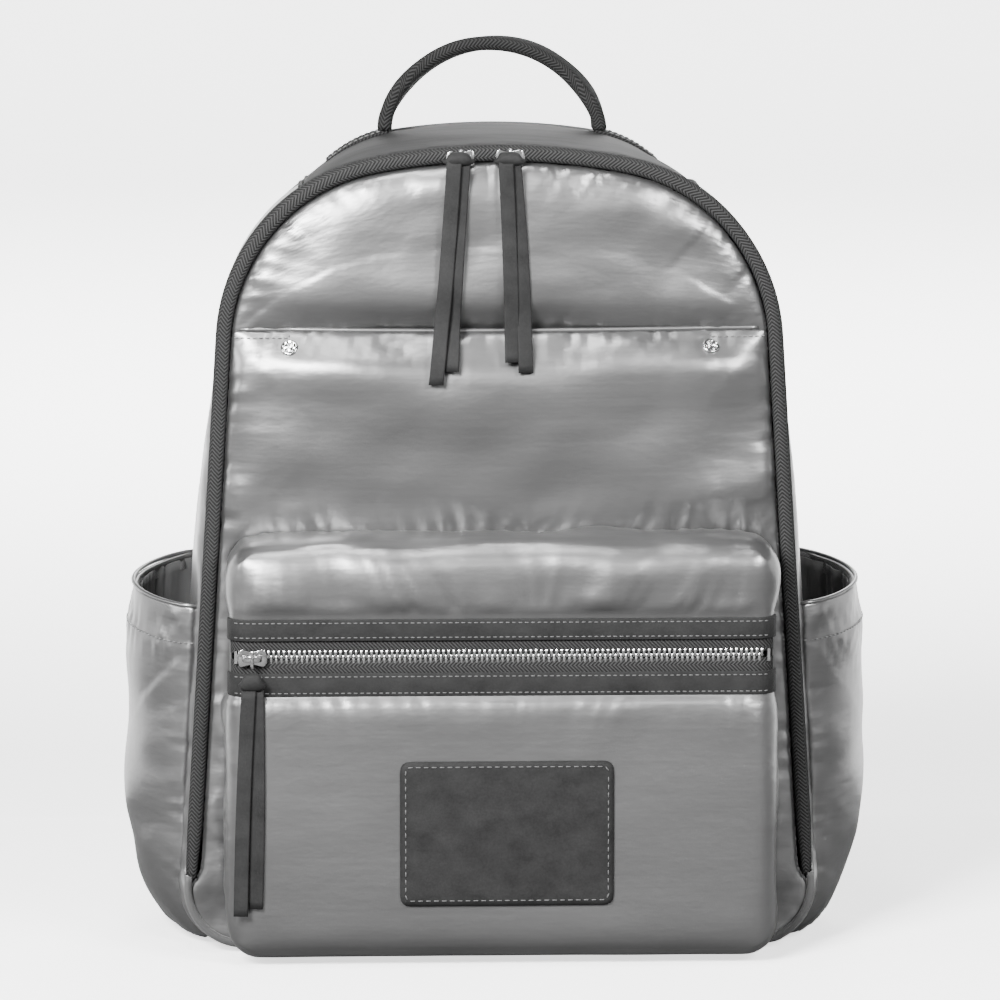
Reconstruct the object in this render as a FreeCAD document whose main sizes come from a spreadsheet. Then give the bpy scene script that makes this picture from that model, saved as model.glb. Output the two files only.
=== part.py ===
import FreeCAD, Part
import os
from math import cos, radians, sin

import Sketcher
from FreeCAD import Placement, Rotation, Vector

# A padded diaper backpack. Millimetres, +Z up. X runs across the bag and +Y runs from its front to its back.
# The origin is on the ground under the middle of the bag.
# "n" in a comment is the distance outside the outline of the front panel, so a negative n is inside it.

SIZES = [
    ("front_y", -71, "plane of the front panel's face"),
    ("back_y", 69, "plane of the back panel's face"),
    ("crest_z", 414, "top of the outline"),
    ("crest_radius", 340, "arc over the top, where the main sliders run"),
    ("shoulder_radius", 97.5, "arc from the top into each side"),
    ("shoulder_x", 46.3, "shoulder arc's centre"),
    ("foot_radius", 30, "arc at each bottom corner"),
    ("foot_x", 131.5, "bottom corner arc's centre"),
    ("foot_z", 33, "bottom corner arc's centre"),
    ("gusset_wall", 3, "padded side fabric"),
    ("gusset_front", 14, "from the front plane to the gusset's front edge"),
    ("lining_wall", 1, "lining cloth"),
    ("ply_gap", 0.2, "gap between sewn layers"),
    ("back_cover_wall", 2.5, "mesh cloth of the back"),
    ("back_foam_wall", 6, "foam of the back"),
    ("piping_size", 3, "corded seams"),
    ("piping_proud", 1.2, "rear seam's cord behind the back plane"),
    ("board_wall", 2, "stiffener on the floor of the bag"),
    ("board_clear", 8, "stiffener's edges from the walls"),
    ("inner_pocket_x", 110, "half of the inner pocket"),
    ("inner_pocket_z", 110, "floor of the inner pocket"),
    ("inner_pocket_height", 126, "inner pocket's height"),
    ("inner_pocket_depth", 8, "inner pocket, front to back"),
    ("top_half_width", 101, "half of the top gusset, seam to seam"),
    ("base_half_width", 125, "half of the base panel, seam to seam"),
    ("fold_z", 35, "fold line where the front panel hinges"),
    ("fold_clear", 3, "from the fold line to the moving cloth"),
    ("panel_inset", 9.7, "front panel's edge inside the outline"),
    ("panel_wall", 4, "padded front panel"),
    ("slip_z", 323, "top edge of the slip pocket"),
    ("slip_floor_z", 222, "floor of the slip pocket"),
    ("slip_wall", 0.5, "slip pocket's lining"),
    ("slip_hollow", 4.8, "slip pocket's inside depth"),
    ("slip_mouth", 15, "height over which the yoke draws back above the slip pocket"),
    ("yoke_front", 1, "yoke's face behind the front plane"),
    ("yoke_edge", 8.8, "yoke's lower edge behind the front plane"),
    ("yoke_back", 12, "back of the yoke behind the front plane"),
    ("panel_lining_inset", 6, "front panel's lining inside the outline"),
    ("tape_wall", 1.2, "zipper tape"),
    ("outer_tape_inset", 1.3, "outer tape's inner edge inside the outline"),
    ("outer_coil_inset", 3.1, "outer coil's inner edge inside the outline"),
    ("inner_coil_inset", 3.4, "inner coil's outer edge inside the outline"),
    ("inner_tape_inset", 5.2, "inner tape's outer edge inside the outline"),
    ("inner_tape_end", 9.5, "inner tape's inner edge inside the outline"),
    ("outer_coil_depth", 4.2, "outer coil behind the front plane"),
    ("outer_tape_depth", 6.8, "outer tape behind the front plane"),
    ("inner_coil_depth", 2.4, "inner coil behind the front plane"),
    ("inner_tape_depth", 1, "inner tape behind the front plane"),
    ("coil_wall", 2.5, "outer coil, front to back"),
    ("inner_coil_wall", 2.6, "inner coil, front to back"),
    ("rivet_x", 107, "rivet from the middle"),
    ("rivet_z", 313, "rivet's height"),
    ("rivet_radius", 4.2, "rivet's cap"),
    ("rivet_cap", 1.8, "thickness of the rivet's cap"),
    ("rivet_rim", 0.8, "rivet's rim, under its cap"),
    ("pocket_half_width", 138, "half of the front pocket"),
    ("pocket_top_z", 216, "top of the front pocket"),
    ("pocket_depth", 40, "front pocket, front to back"),
    ("pocket_wall", 2, "front pocket's cloth"),
    ("pocket_corner", 12, "front pocket's top corners"),
    ("pocket_fold_z", 31, "where the pocket's soft foot starts, at its front"),
    ("ground_gap", 3.5, "under the pockets"),
    ("zip_z", 160, "front pocket's zipper"),
    ("zip_window", 8, "half of the zipper's window"),
    ("band_wall", 1.2, "leather facing"),
    ("band_upper", 10.5, "upper leather facing's height"),
    ("band_lower", 12, "lower leather facing's height"),
    ("teeth_half", 3.2, "half of the tooth chain"),
    ("teeth_wall", 3, "tooth chain, front to back"),
    ("teeth_proud", 1.6, "tooth chain in front of the cloth's back face"),
    ("tape_cover", 7, "pocket zipper's tape under the cloth beside the window"),
    ("band_seam", 3, "pocket's cloth from the edge of the window"),
    ("patch_width", 108.5, "width of the leather patch"),
    ("patch_height", 74.5, "height of the leather patch"),
    ("patch_x", 2, "leather patch's middle from the bag's"),
    ("patch_z", 69.8, "height of the leather patch's middle"),
    ("patch_corner", 5, "leather patch's corners"),
    ("slider_length", 15, "slider along the zipper"),
    ("slider_width", 9, "slider across the zipper"),
    ("slider_wall", 1.8, "slider's front plate"),
    ("slider_back_wall", 1.2, "slider's back plate"),
    ("slider_post", 1.4, "posts that hold the bail bar"),
    ("bail_reach", 4.4, "bail bar in front of the slider's plate"),
    ("bail_radius", 0.8, "bail's wire"),
    ("ring_radius", 5.5, "ring on the front pocket's slider"),
    ("ring_wire", 0.8, "wire of that ring"),
    ("pocket_slider_x", -126.5, "front pocket's slider at rest"),
    ("strap_leather", 7.5, "width of a pull's leather"),
    ("eye_radius", 3.2, "leather round the bail bar"),
    ("knot_half", 7, "half of a main pull's knot"),
    ("knot_height", 8, "height of a main pull's knot"),
    ("tail_wall", 1.6, "thickness of a pull's tail"),
    ("tail_step", 6, "the rear tail ends above the front one"),
    ("main_pull_length", 112, "main pull, knot to end"),
    ("pocket_pull_length", 123, "pocket pull, ring to end"),
    ("handle_half_span", 59, "half of the grab handle's span"),
    ("handle_base_z", 417, "grab handle's hinge line"),
    ("handle_rise", 46, "grab handle above its hinge line"),
    ("handle_wall", 6, "grab handle's thickness"),
    ("handle_width", 24, "grab handle's webbing"),
    ("handle_y", 54, "middle of the grab handle"),
    ("handle_foot", 3, "width of the handle's folded ends"),
    ("handle_leg", 12, "straight part of the handle's legs"),
    ("handle_taper", 22, "height over which the handle widens"),
    ("anchor_reach", 30, "handle's sewn ends beyond its legs"),
    ("anchor_wall", 2, "thickness of the handle's sewn ends"),
    ("anchor_width", 22, "width of the handle's sewn ends"),
    ("bottle_reach", 42, "bottle pocket's bulge out of the side"),
    ("bottle_foot_reach", 28, "the same at its foot"),
    ("bottle_front_z", 178, "bottle pocket's rim at the front"),
    ("bottle_back_z", 190, "bottle pocket's rim at the back"),
    ("bottle_wall", 2, "bottle pocket's padded cloth"),
    ("bottle_front_clear", 18, "bottle pocket behind the front plane"),
    ("bottle_back_clear", 12, "bottle pocket in front of the back plane"),
    ("bottle_knee_z", 62, "height where the bottle pocket starts to draw in"),
    ("bottle_skin", 0.6, "bottle pocket's lining, and its elastic"),
    ("hem_drop", 5, "elastic under the rim"),
    ("hem_height", 12, "elastic's height"),
    ("pad_width", 60, "width of a shoulder strap's pad"),
    ("pad_wall", 12, "thickness of a shoulder strap's pad"),
    ("pad_gap", 3, "strap pad's top behind the back plane"),
    ("pad_lean", 14, "strap pad's lower end farther back than its top"),
    ("yoke_half", 78, "half of the band that sews the straps on"),
    ("yoke_height", 12, "height of that band"),
    ("yoke_wall", 1.9, "thickness of that band"),
    ("lock_half", 16, "half of a ladder lock"),
    ("lock_window_half", 12.8, "half of a ladder lock's windows"),
    ("lock_height", 25.6, "ladder lock's height"),
    ("lock_wall", 5, "thickness of a ladder lock"),
    ("tail_length", 78, "webbing's loose end"),
    ("pad_top_x", 44, "shoulder strap's top from the middle"),
    ("pad_top_z", 388, "shoulder strap's hinge line"),
    ("pad_bottom_x", 100, "shoulder strap's lower end from the middle"),
    ("pad_bottom_z", 132, "shoulder strap's lower end"),
    ("pad_bow", 27, "shoulder strap's bow behind the back"),
    ("webbing_width", 25, "width of the strap webbing"),
    ("webbing_wall", 1.6, "thickness of the strap webbing"),
    ("tab_x", 128, "lower strap tab from the middle"),
    ("tab_z", 22, "bottom of the lower strap tab"),
    ("tab_half", 17, "half of the lower strap tab"),
    ("tab_height", 22, "height of the lower strap tab"),
    ("tab_wall", 2.3, "thickness of the lower strap tab"),
]

doc = FreeCAD.newDocument("DiaperBackpack")
dim = doc.addObject("Spreadsheet::Sheet", "Dim")
for row, (alias, value, note) in enumerate(SIZES, 1):
    dim.set(f"A{row}", alias)
    dim.set(f"B{row}", str(value))
    dim.set(f"C{row}", note)
    dim.setAlias(f"B{row}", alias)
doc.recompute()

subparts = []  # the finished pieces, one file each


def cells(expression):
    """An expression with the sheet's name put before each alias."""
    words = "".join(c if c.isalnum() or c == "_" else " " for c in str(expression)).split()
    out, rest = "", str(expression)
    for word in words:
        at = rest.index(word)
        out += rest[:at] + ("Dim." + word if word in ALIASES else word)
        rest = rest[at + len(word):]
    return out + rest


ALIASES = {alias for alias, _, _ in SIZES}


def number(expression):
    """What an expression in the sheet's aliases comes to."""
    return float(dim.evalExpression(cells(expression)))


def bind(obj, **properties):
    """Binds properties to expressions. A double underscore stands for a dot."""
    for name, expression in properties.items():
        obj.setExpression(name.replace("__", "."), cells(expression))
    return obj


def finished(obj, name):
    """Marks an object as a sub-part and names it."""
    obj.Label = name
    subparts.append(obj)
    return obj


# ---- helpers for Part objects -----------------------------------------------------------------------------


def box(x0, x1, y0, y1, z0, z1):
    """A box between six planes."""
    made = doc.addObject("Part::Box", "Block")
    return bind(
        made,
        Length=f"({x1}) - ({x0})",
        Width=f"({y1}) - ({y0})",
        Height=f"({z1}) - ({z0})",
        Placement__Base__x=x0,
        Placement__Base__y=y0,
        Placement__Base__z=z0,
    )


def cut(base, tool):
    made = doc.addObject("Part::Cut", "Cut")
    made.Base, made.Tool = base, tool
    return made


def common(base, tool):
    made = doc.addObject("Part::Common", "Common")
    made.Base, made.Tool = base, tool
    return made


def join(*pieces):
    made = doc.addObject("Part::MultiFuse", "Fusion")
    made.Shapes = list(pieces)
    return made


def group(*pieces):
    """Separate solids kept as one sub-part."""
    made = doc.addObject("Part::Compound", "Group")
    made.Links = list(pieces)
    return made


def cylinder(x, y0, y1, z, radius):
    """A cylinder along +Y."""
    made = doc.addObject("Part::Cylinder", "Round")
    made.Placement = Placement(Vector(), Rotation(Vector(1, 0, 0), -90))
    return bind(
        made,
        Radius=radius,
        Height=f"({y1}) - ({y0})",
        Placement__Base__x=x,
        Placement__Base__y=y0,
        Placement__Base__z=z,
    )


def bar_along_x(x0, x1, y, z, radius):
    """A cylinder along +X."""
    made = doc.addObject("Part::Cylinder", "Bar")
    made.Placement = Placement(Vector(), Rotation(Vector(0, 1, 0), 90))
    return bind(
        made,
        Radius=radius,
        Height=f"({x1}) - ({x0})",
        Placement__Base__x=x0,
        Placement__Base__y=y,
        Placement__Base__z=z,
    )


# ---- sketches ---------------------------------------------------------------------------------------------

START, END, CENTRE = 1, 2, 3  # the points of an arc or a line in a sketch


def fix_point(sketch, geometry, point, x, z):
    """Holds a sketch point at a place that is worked out from the sheet."""
    for kind, expression in (("DistanceX", x), ("DistanceY", z)):
        at = sketch.addConstraint(Sketcher.Constraint(kind, -1, 1, geometry, point, number(expression)))
        sketch.setExpression(f"Constraints[{at}]", cells(expression))


def fix_radius(sketch, geometry, expression):
    """Holds the radius of an arc at a value that is worked out from the sheet."""
    at = sketch.addConstraint(Sketcher.Constraint("Radius", geometry, number(expression)))
    sketch.setExpression(f"Constraints[{at}]", cells(expression))


def close_loop(sketch, count, kind="Coincident"):
    """Joins the end of each of the first pieces of a sketch to the start of the next."""
    for i in range(count):
        sketch.addConstraint(Sketcher.Constraint(kind, i, END, (i + 1) % count, START))


def draw_polygon(sketch, corners):
    """Closed straight-sided outline through corners given as pairs of expressions."""
    points = [Vector(number(x), number(z), 0) for x, z in corners]
    for start, end in zip(points, points[1:] + points[:1]):
        sketch.addGeometry(Part.LineSegment(start, end), False)
    close_loop(sketch, len(points))
    for i, corner in enumerate(corners):
        fix_point(sketch, i, START, *corner)
    return sketch


def upright_sketch(name):
    """A sketch in the XZ plane: its own X and Y are the bag's X and Z."""
    sketch = doc.addObject("Sketcher::SketchObject", name)
    sketch.Placement = Placement(Vector(), Rotation(Vector(1, 0, 0), 90))
    return sketch


def side_sketch(name):
    """A sketch in the YZ plane: its own X and Y are the bag's Y and Z."""
    sketch = doc.addObject("Sketcher::SketchObject", name)
    sketch.Placement = Placement(Vector(), Rotation(Vector(1, 1, 1), 120))
    return sketch


def extrude(sketch, direction, start, length):
    """A solid from a sketch, starting at a place along one of the bag's axes."""
    made = doc.addObject("Part::Extrusion", "Extrusion")
    made.Base = sketch
    made.DirMode = "Custom"
    made.Dir = direction
    made.Solid = True
    axis = "x" if direction.x else "y"
    return bind(made, LengthFwd=length, **{f"Placement__Base__{axis}": start})


# ---- the outline of the bag, seen from the front ----------------------------------------------------------


def mirrored(p):
    return Vector(-p.x, p.y, 0)


def arc(centre, radius, start, end, bulge):
    """The arc from start to end that bulges a given way."""
    return Part.Arc(start, centre + Vector(bulge).normalize() * radius, end)


def outline_pieces():
    """The outline's arcs and lines, anticlockwise from the right end of the crest arc."""
    crest_r = number("crest_radius")
    shoulder_r = number("shoulder_radius")
    foot_r = number("foot_radius")
    shoulder_x = number("shoulder_x")
    crest_c = Vector(0, number("crest_z") - crest_r, 0)
    drop = (crest_r - shoulder_r) ** 2 - shoulder_x**2
    shoulder_c = Vector(shoulder_x, crest_c.y + drop**0.5, 0)
    foot_c = Vector(number("foot_x"), number("foot_z"), 0)
    out = (shoulder_c - crest_c).normalize()
    crest_end = crest_c + out * crest_r
    # The side is the outer tangent of the shoulder and foot circles.
    span = foot_c - shoulder_c
    share = (shoulder_r - foot_r) / span.Length
    along = Vector(span).normalize()
    across = Vector(-span.y, span.x, 0).normalize()
    side = along * share + across * (1 - share**2) ** 0.5
    shoulder_end = shoulder_c + side * shoulder_r
    foot_start = foot_c + side * foot_r
    foot_end = foot_c + Vector(0, -foot_r, 0)
    up = Vector(0, 1, 0)
    left_shoulder = mirrored(shoulder_c)
    left_foot = mirrored(foot_c)
    return [
        arc(crest_c, crest_r, crest_end, mirrored(crest_end), up),
        arc(left_shoulder, shoulder_r, mirrored(crest_end), mirrored(shoulder_end), mirrored(out + side)),
        Part.LineSegment(mirrored(shoulder_end), mirrored(foot_start)),
        arc(left_foot, foot_r, mirrored(foot_start), mirrored(foot_end), mirrored(side - up)),
        Part.LineSegment(mirrored(foot_end), foot_end),
        arc(foot_c, foot_r, foot_end, foot_start, side - up),
        Part.LineSegment(foot_start, shoulder_end),
        arc(shoulder_c, shoulder_r, shoulder_end, crest_end, out + side),
    ]


def outline_sketch():
    """The arched outline, fixed by the radii and centres of its arcs."""
    sketch = upright_sketch("BagOutline")
    pieces = outline_pieces()
    for piece in pieces:
        sketch.addGeometry(piece, False)
    close_loop(sketch, len(pieces), "Tangent")
    crest, left_shoulder, left_foot, right_foot, right_shoulder = 0, 1, 3, 5, 7
    for piece, radius in (
        (crest, "crest_radius"),
        (left_shoulder, "shoulder_radius"),
        (left_foot, "foot_radius"),
        (right_foot, "foot_radius"),
        (right_shoulder, "shoulder_radius"),
    ):
        fix_radius(sketch, piece, radius)
    fix_point(sketch, crest, CENTRE, "0", "crest_z - crest_radius")
    fix_point(sketch, left_foot, CENTRE, "-foot_x", "foot_z")
    fix_point(sketch, right_foot, CENTRE, "foot_x", "foot_z")
    for piece, x in ((left_shoulder, "-shoulder_x"), (right_shoulder, "shoulder_x")):
        at = sketch.addConstraint(Sketcher.Constraint("DistanceX", -1, 1, piece, CENTRE, number(x)))
        sketch.setExpression(f"Constraints[{at}]", cells(x))
    return sketch


outline = outline_sketch()
doc.recompute()


def slab(grow, y0, y1):
    """The whole outline, grown by n, between two planes across the bag's depth."""
    source = outline
    if number(grow):
        source = doc.addObject("Part::Offset2D", "Offset")
        source.Source = outline
        source.Mode = "Pipe"
        source.Join = "Arc"
        bind(source, Value=grow)
    return extrude(source, Vector(0, 1, 0), y0, f"({y1}) - ({y0})")


def ring(outer, inner, y0, y1):
    """A band that runs right round the outline, between two values of n."""
    return cut(slab(outer, y0, y1), slab(inner, f"({y0}) - 1", f"({y1}) + 1"))


FAR = 300  # past the bag on every side
BELOW = "-1"
TOP = "crest_z + 60"
MIDDLE_Z = "crest_z / 2"
FOLD_START = "fold_z + fold_clear"
GUSSET_Y0 = "front_y + gusset_front"
GUSSET_Y1 = "back_y - back_cover_wall"


def column(x0, x1, z0, z1):
    """Everything between two planes across the bag and between two heights."""
    return box(x0, x1, f"-{FAR}", f"{FAR}", z0, z1)


def wide(z0, z1):
    """Everything between two heights."""
    return column(f"-{FAR}", f"{FAR}", z0, z1)


# ---- carcass: gusset, back, lining ------------------------------------------------------------------------


def gusset():
    """The band of padded cloth round the bag, sewn from a top, two sides and a base."""

    def band():
        return ring("gusset_wall", "0", GUSSET_Y0, GUSSET_Y1)

    def above():
        return column("-top_half_width", "top_half_width", MIDDLE_Z, TOP)

    def below():
        return column("-base_half_width", "base_half_width", BELOW, "foot_z")

    finished(common(band(), above()), "top_gusset")
    finished(common(band(), below()), "base_panel")
    for side, x0, x1 in (("left", f"-{FAR}", "0"), ("right", "0", f"{FAR}")):
        half = common(band(), column(x0, x1, BELOW, TOP))
        finished(cut(cut(half, above()), below()), f"side_gusset_{side}")


def back_and_lining():
    """Back cover, its foam, the corded rear seam, the main lining, the base board and an inner pocket."""
    foam_y1 = "back_y - back_cover_wall - ply_gap"
    foam_y0 = f"{foam_y1} - back_foam_wall"
    lining_y1 = f"{foam_y0} - ply_gap"
    cover_y0 = f"{GUSSET_Y1} + ply_gap"
    seam = "gusset_wall - piping_size"
    finished(slab(seam, cover_y0, "back_y"), "back_cover")
    finished(slab("-ply_gap", foam_y0, foam_y1), "back_foam")
    cord = ring("gusset_wall - ply_gap", f"{seam} + ply_gap", cover_y0, "back_y + piping_proud")
    finished(cord, "rear_piping")
    hollow = slab("-ply_gap - lining_wall", f"{GUSSET_Y0} - 1", f"{lining_y1} - lining_wall")
    finished(cut(slab("-ply_gap", GUSSET_Y0, lining_y1), hollow), "main_lining")
    floor_z = "foot_z - foot_radius + ply_gap + lining_wall + ply_gap"
    board_x = "foot_x - board_clear"
    board_y0 = f"{GUSSET_Y0} + board_clear"
    board_y1 = f"{lining_y1} - board_clear"
    board = box(f"-({board_x})", board_x, board_y0, board_y1, floor_z, f"{floor_z} + board_wall")
    finished(board, "base_board")
    inner_y1 = f"{lining_y1} - lining_wall - ply_gap"
    inner_y0 = f"{inner_y1} - inner_pocket_depth"
    x, wall = "inner_pocket_x", "lining_wall"
    top_z = "inner_pocket_z + inner_pocket_height"
    pouch = box(f"-{x}", x, inner_y0, inner_y1, "inner_pocket_z", top_z)
    room_x = f"({x} - {wall})"
    room_z = f"inner_pocket_z + {wall}"
    room = box(f"-{room_x}", room_x, f"{inner_y0} + {wall}", f"{inner_y1} - {wall}", room_z, f"{top_z} + 1")
    finished(cut(pouch, room), "inner_pocket")


# ---- main zipper ------------------------------------------------------------------------------------------


def main_zipper():
    """Both tapes and both coils of the main zipper. Each follows the outline, down to the fold line."""
    outer_end, inner_end = wide("fold_z - 0.8", TOP), wide(FOLD_START, TOP)
    tape_y0 = "front_y + outer_tape_depth"
    tape = ring("0", "-outer_tape_inset", tape_y0, f"{GUSSET_Y0} - ply_gap")
    finished(common(tape, outer_end), "main_zip_tape_outer")
    coil_y0 = "front_y + outer_coil_depth"
    coil = ring("-outer_tape_inset", "-outer_coil_inset", coil_y0, f"{coil_y0} + coil_wall")
    finished(common(coil, outer_end), "main_zip_coil_outer")
    coil_y0 = "front_y + inner_coil_depth"
    coil = ring("-inner_coil_inset", "-inner_tape_inset", coil_y0, f"{coil_y0} + inner_coil_wall")
    finished(common(coil, inner_end), "main_zip_coil_inner")
    tape_y0 = "front_y + inner_tape_depth"
    tape = ring("-inner_tape_inset", "-inner_tape_end", tape_y0, f"{tape_y0} + tape_wall")
    finished(common(tape, inner_end), "main_zip_tape_inner")


# ---- front panel ------------------------------------------------------------------------------------------


def side_prism(corners, x0, x1):
    """A prism across the bag with a section drawn in the YZ plane."""
    section = draw_polygon(side_sketch("Section"), corners)
    return extrude(section, Vector(1, 0, 0), x0, f"({x1}) - ({x0})")


def yoke():
    """The front above the slip pocket. Its lower edge stands behind the pocket's mouth."""
    face = "front_y + yoke_front"
    edge = "front_y + yoke_edge"
    back = "front_y + yoke_back"
    foot_z = "slip_z + 0.3"
    section = [
        (edge, foot_z),
        (back, foot_z),
        (back, TOP),
        (face, TOP),
        (face, "slip_z + slip_mouth"),
        (edge, "slip_z + slip_mouth / 3"),
    ]
    whole = slab("-panel_inset", "front_y - 1", f"{back} + 1")
    finished(common(whole, side_prism(section, f"-{FAR}", f"{FAR}")), "front_yoke")


def slip_pocket():
    """The flat bag behind the slip pocket's mouth, open at its top."""
    y0 = "front_y + panel_wall + 0.1"
    y1 = f"{y0} + slip_wall * 2 + slip_hollow"
    bag = common(slab("-panel_inset", y0, y1), wide("slip_floor_z", "slip_z"))
    room = slab("-panel_inset - slip_wall", f"{y0} + slip_wall", f"{y1} - slip_wall")
    hollow = common(room, wide("slip_floor_z + slip_wall", "slip_z + 1"))
    finished(cut(bag, hollow), "slip_pocket_lining")


def rivet(x):
    """A round cap on a narrower rim."""
    rim_y = "front_y - rivet_rim"
    cap = cylinder(x, f"{rim_y} - rivet_cap", rim_y, "rivet_z", "rivet_radius")
    rim = cylinder(x, rim_y, "front_y", "rivet_z", "rivet_radius - rivet_rim")
    return join(cap, rim)


def front_panel():
    """The hinged front: lower panel, yoke, slip pocket, lining and the two rivets."""
    lower = slab("-panel_inset", "front_y", "front_y + panel_wall")
    finished(common(lower, wide(FOLD_START, "slip_z")), "front_panel_lower")
    yoke()
    slip_pocket()
    lining_y0 = "front_y + yoke_back + ply_gap"
    lining = slab("-panel_lining_inset", lining_y0, f"{lining_y0} + lining_wall")
    finished(common(lining, wide("fold_z + gusset_front", TOP)), "panel_lining")
    finished(group(rivet("-rivet_x"), rivet("rivet_x")), "slip_pocket_rivets")


def fixed_front():
    """What stays with the base under the fold line: the skirt of the front, and the corded bottom seam."""
    skirt = common(slab("-0.3", "front_y", f"{GUSSET_Y0} - ply_gap"), wide(BELOW, "fold_z - 1"))
    room = slab("-0.3 - panel_wall", "front_y + panel_wall", GUSSET_Y0)
    finished(cut(skirt, common(room, wide(BELOW, "fold_z + 1"))), "front_skirt")
    cord_y0 = "front_y - 0.2 - piping_size / 2"
    cord = ring("gusset_wall - 0.8", "-ply_gap", cord_y0, "front_y + 0.3 + piping_size / 2")
    clear = slab("-0.25", "front_y - 1", "front_y + 9")
    finished(common(cut(cord, clear), wide(BELOW, "foot_z - 1")), "base_piping")


# ---- front pocket -----------------------------------------------------------------------------------------

POCKET_Y0 = "front_y - pocket_depth"
POCKET_Y1 = "front_y - ply_gap"
FACE_Y1 = f"{POCKET_Y0} + pocket_wall"  # back of the pocket's front cloth
POCKET_X = "pocket_half_width"


def body_sketch(body, name, plane):
    """A sketch attached to one of a body's own planes."""
    sketch = body.newObject("Sketcher::SketchObject", name)
    origin = next(f for f in body.Origin.OriginFeatures if f.Role == plane)
    sketch.AttachmentSupport = [(origin, "")]
    sketch.MapMode = "FlatFace"
    return sketch


def rounded_plate(name, corners, y0, y1, radius, lowest_z):
    """A plate between two planes across the bag's depth. Its corners above a height are rounded."""
    body = doc.addObject("PartDesign::Body", name)
    sketch = draw_polygon(body_sketch(body, f"{name}Face", "XZ_Plane"), corners)
    doc.recompute()
    pad = body.newObject("PartDesign::Pad", f"{name}Pad")
    pad.Profile = sketch
    pad.Reversed = True
    bind(pad, Length=f"({y1}) - ({y0})")
    doc.recompute()
    fillet = body.newObject("PartDesign::Fillet", f"{name}Corners")
    across = [
        f"Edge{i}"
        for i, edge in enumerate(pad.Shape.Edges, 1)
        if abs(edge.tangentAt(edge.FirstParameter).y) > 0.9 and edge.CenterOfMass.z > number(lowest_z)
    ]
    fillet.Base = (pad, across)
    bind(fillet, Radius=radius)
    bind(body, Placement__Base__y=y0)
    return body


def pocket_block(inset, y0, y1):
    """The front pocket seen from the front, with rounded top corners, between two planes."""
    x, low, top = f"{POCKET_X} - {inset}", f"ground_gap + {inset}", f"pocket_top_z - {inset}"
    corners = [(f"-({x})", low), (x, low), (x, top), (f"-({x})", top)]
    return rounded_plate("PocketBlock", corners, y0, y1, f"pocket_corner - {inset}", "zip_z")


def pocket_foot(slack):
    """The prism that holds the pocket's soft foot: it slopes up from the pocket's front to the fold line."""
    front, back = f"{POCKET_Y0} - 5", "front_y + 1"
    section = [
        (front, BELOW),
        (back, BELOW),
        (back, f"fold_z + 5 - {slack}"),
        (front, f"pocket_fold_z - {slack}"),
    ]
    return side_prism(section, f"-{FAR}", f"{FAR}")


def pocket_cloth():
    """The boxy pocket's gusset, the two parts of its face, and the soft foot that folds."""
    shell = pocket_block("0", FACE_Y1, POCKET_Y1)
    room = pocket_block("pocket_wall", f"{FACE_Y1} - 1", "front_y + 1")
    finished(cut(cut(shell, room), pocket_foot("0")), "front_pocket_gusset")
    upper = wide("zip_z + zip_window + band_seam", TOP)
    finished(common(pocket_block("0", POCKET_Y0, FACE_Y1), upper), "front_pocket_upper")
    lower = wide("0", "zip_z - zip_window - band_seam")
    face = cut(pocket_block("0", POCKET_Y0, FACE_Y1), pocket_foot("0"))
    finished(common(face, lower), "front_pocket_lower")
    whole = pocket_block("0", POCKET_Y0, POCKET_Y1)
    room = pocket_block("pocket_wall", FACE_Y1, "front_y + 1")
    finished(common(cut(whole, room), pocket_foot("0.3")), "front_pocket_foot")


def pocket_zipper():
    """The pocket's zipper: two leather facings, two tooth chains, two tapes and the end stops."""
    over, under = "zip_z + zip_window", "zip_z - zip_window"

    def facing(z0, z1):
        return box(f"-{POCKET_X}", POCKET_X, f"{POCKET_Y0} - band_wall", POCKET_Y0, z0, z1)

    finished(facing(over, f"{over} + band_upper"), "pocket_band_upper")
    finished(facing(f"{under} - band_lower", under), "pocket_band_lower")

    chain_x = f"({POCKET_X} - 4)"
    chain_y0 = f"{FACE_Y1} - teeth_proud"
    chain_y1 = f"{chain_y0} + teeth_wall"

    def chain(z0, z1):
        return box(f"-{chain_x}", chain_x, chain_y0, chain_y1, z0, z1)

    finished(chain("zip_z + ply_gap", "zip_z + teeth_half"), "pocket_zip_teeth_upper")
    finished(chain("zip_z - teeth_half", "zip_z - ply_gap"), "pocket_zip_teeth_lower")

    tape_x = f"({POCKET_X} - 2.4)"
    tape_y0 = f"{FACE_Y1} + ply_gap"

    def tape(z0, z1):
        return box(f"-{tape_x}", tape_x, tape_y0, f"{tape_y0} + tape_wall", z0, z1)

    finished(tape("zip_z + teeth_half", f"{over} + tape_cover"), "pocket_zip_tape_upper")
    finished(tape(f"{under} - tape_cover", "zip_z - teeth_half"), "pocket_zip_tape_lower")

    stops = [
        box(f"{x} - 0.7", f"{x} + 0.7", chain_y0, chain_y1, "zip_z - teeth_half", "zip_z + teeth_half")
        for x in (f"-{chain_x} - 0.8", f"{chain_x} + 0.8")
    ]
    finished(group(*stops), "pocket_zip_stops")


def patch():
    """The plain leather patch on the pocket's face."""
    left, right = "patch_x - patch_width / 2", "patch_x + patch_width / 2"
    low, high = "patch_z - patch_height / 2", "patch_z + patch_height / 2"
    corners = [(left, low), (right, low), (right, high), (left, high)]
    made = rounded_plate("Patch", corners, f"{POCKET_Y0} - band_wall", POCKET_Y0, "patch_corner", "0")
    finished(made, "leather_patch")


def front_pocket():
    pocket_cloth()
    pocket_zipper()
    patch()


# ---- sliders and pulls ------------------------------------------------------------------------------------


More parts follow.
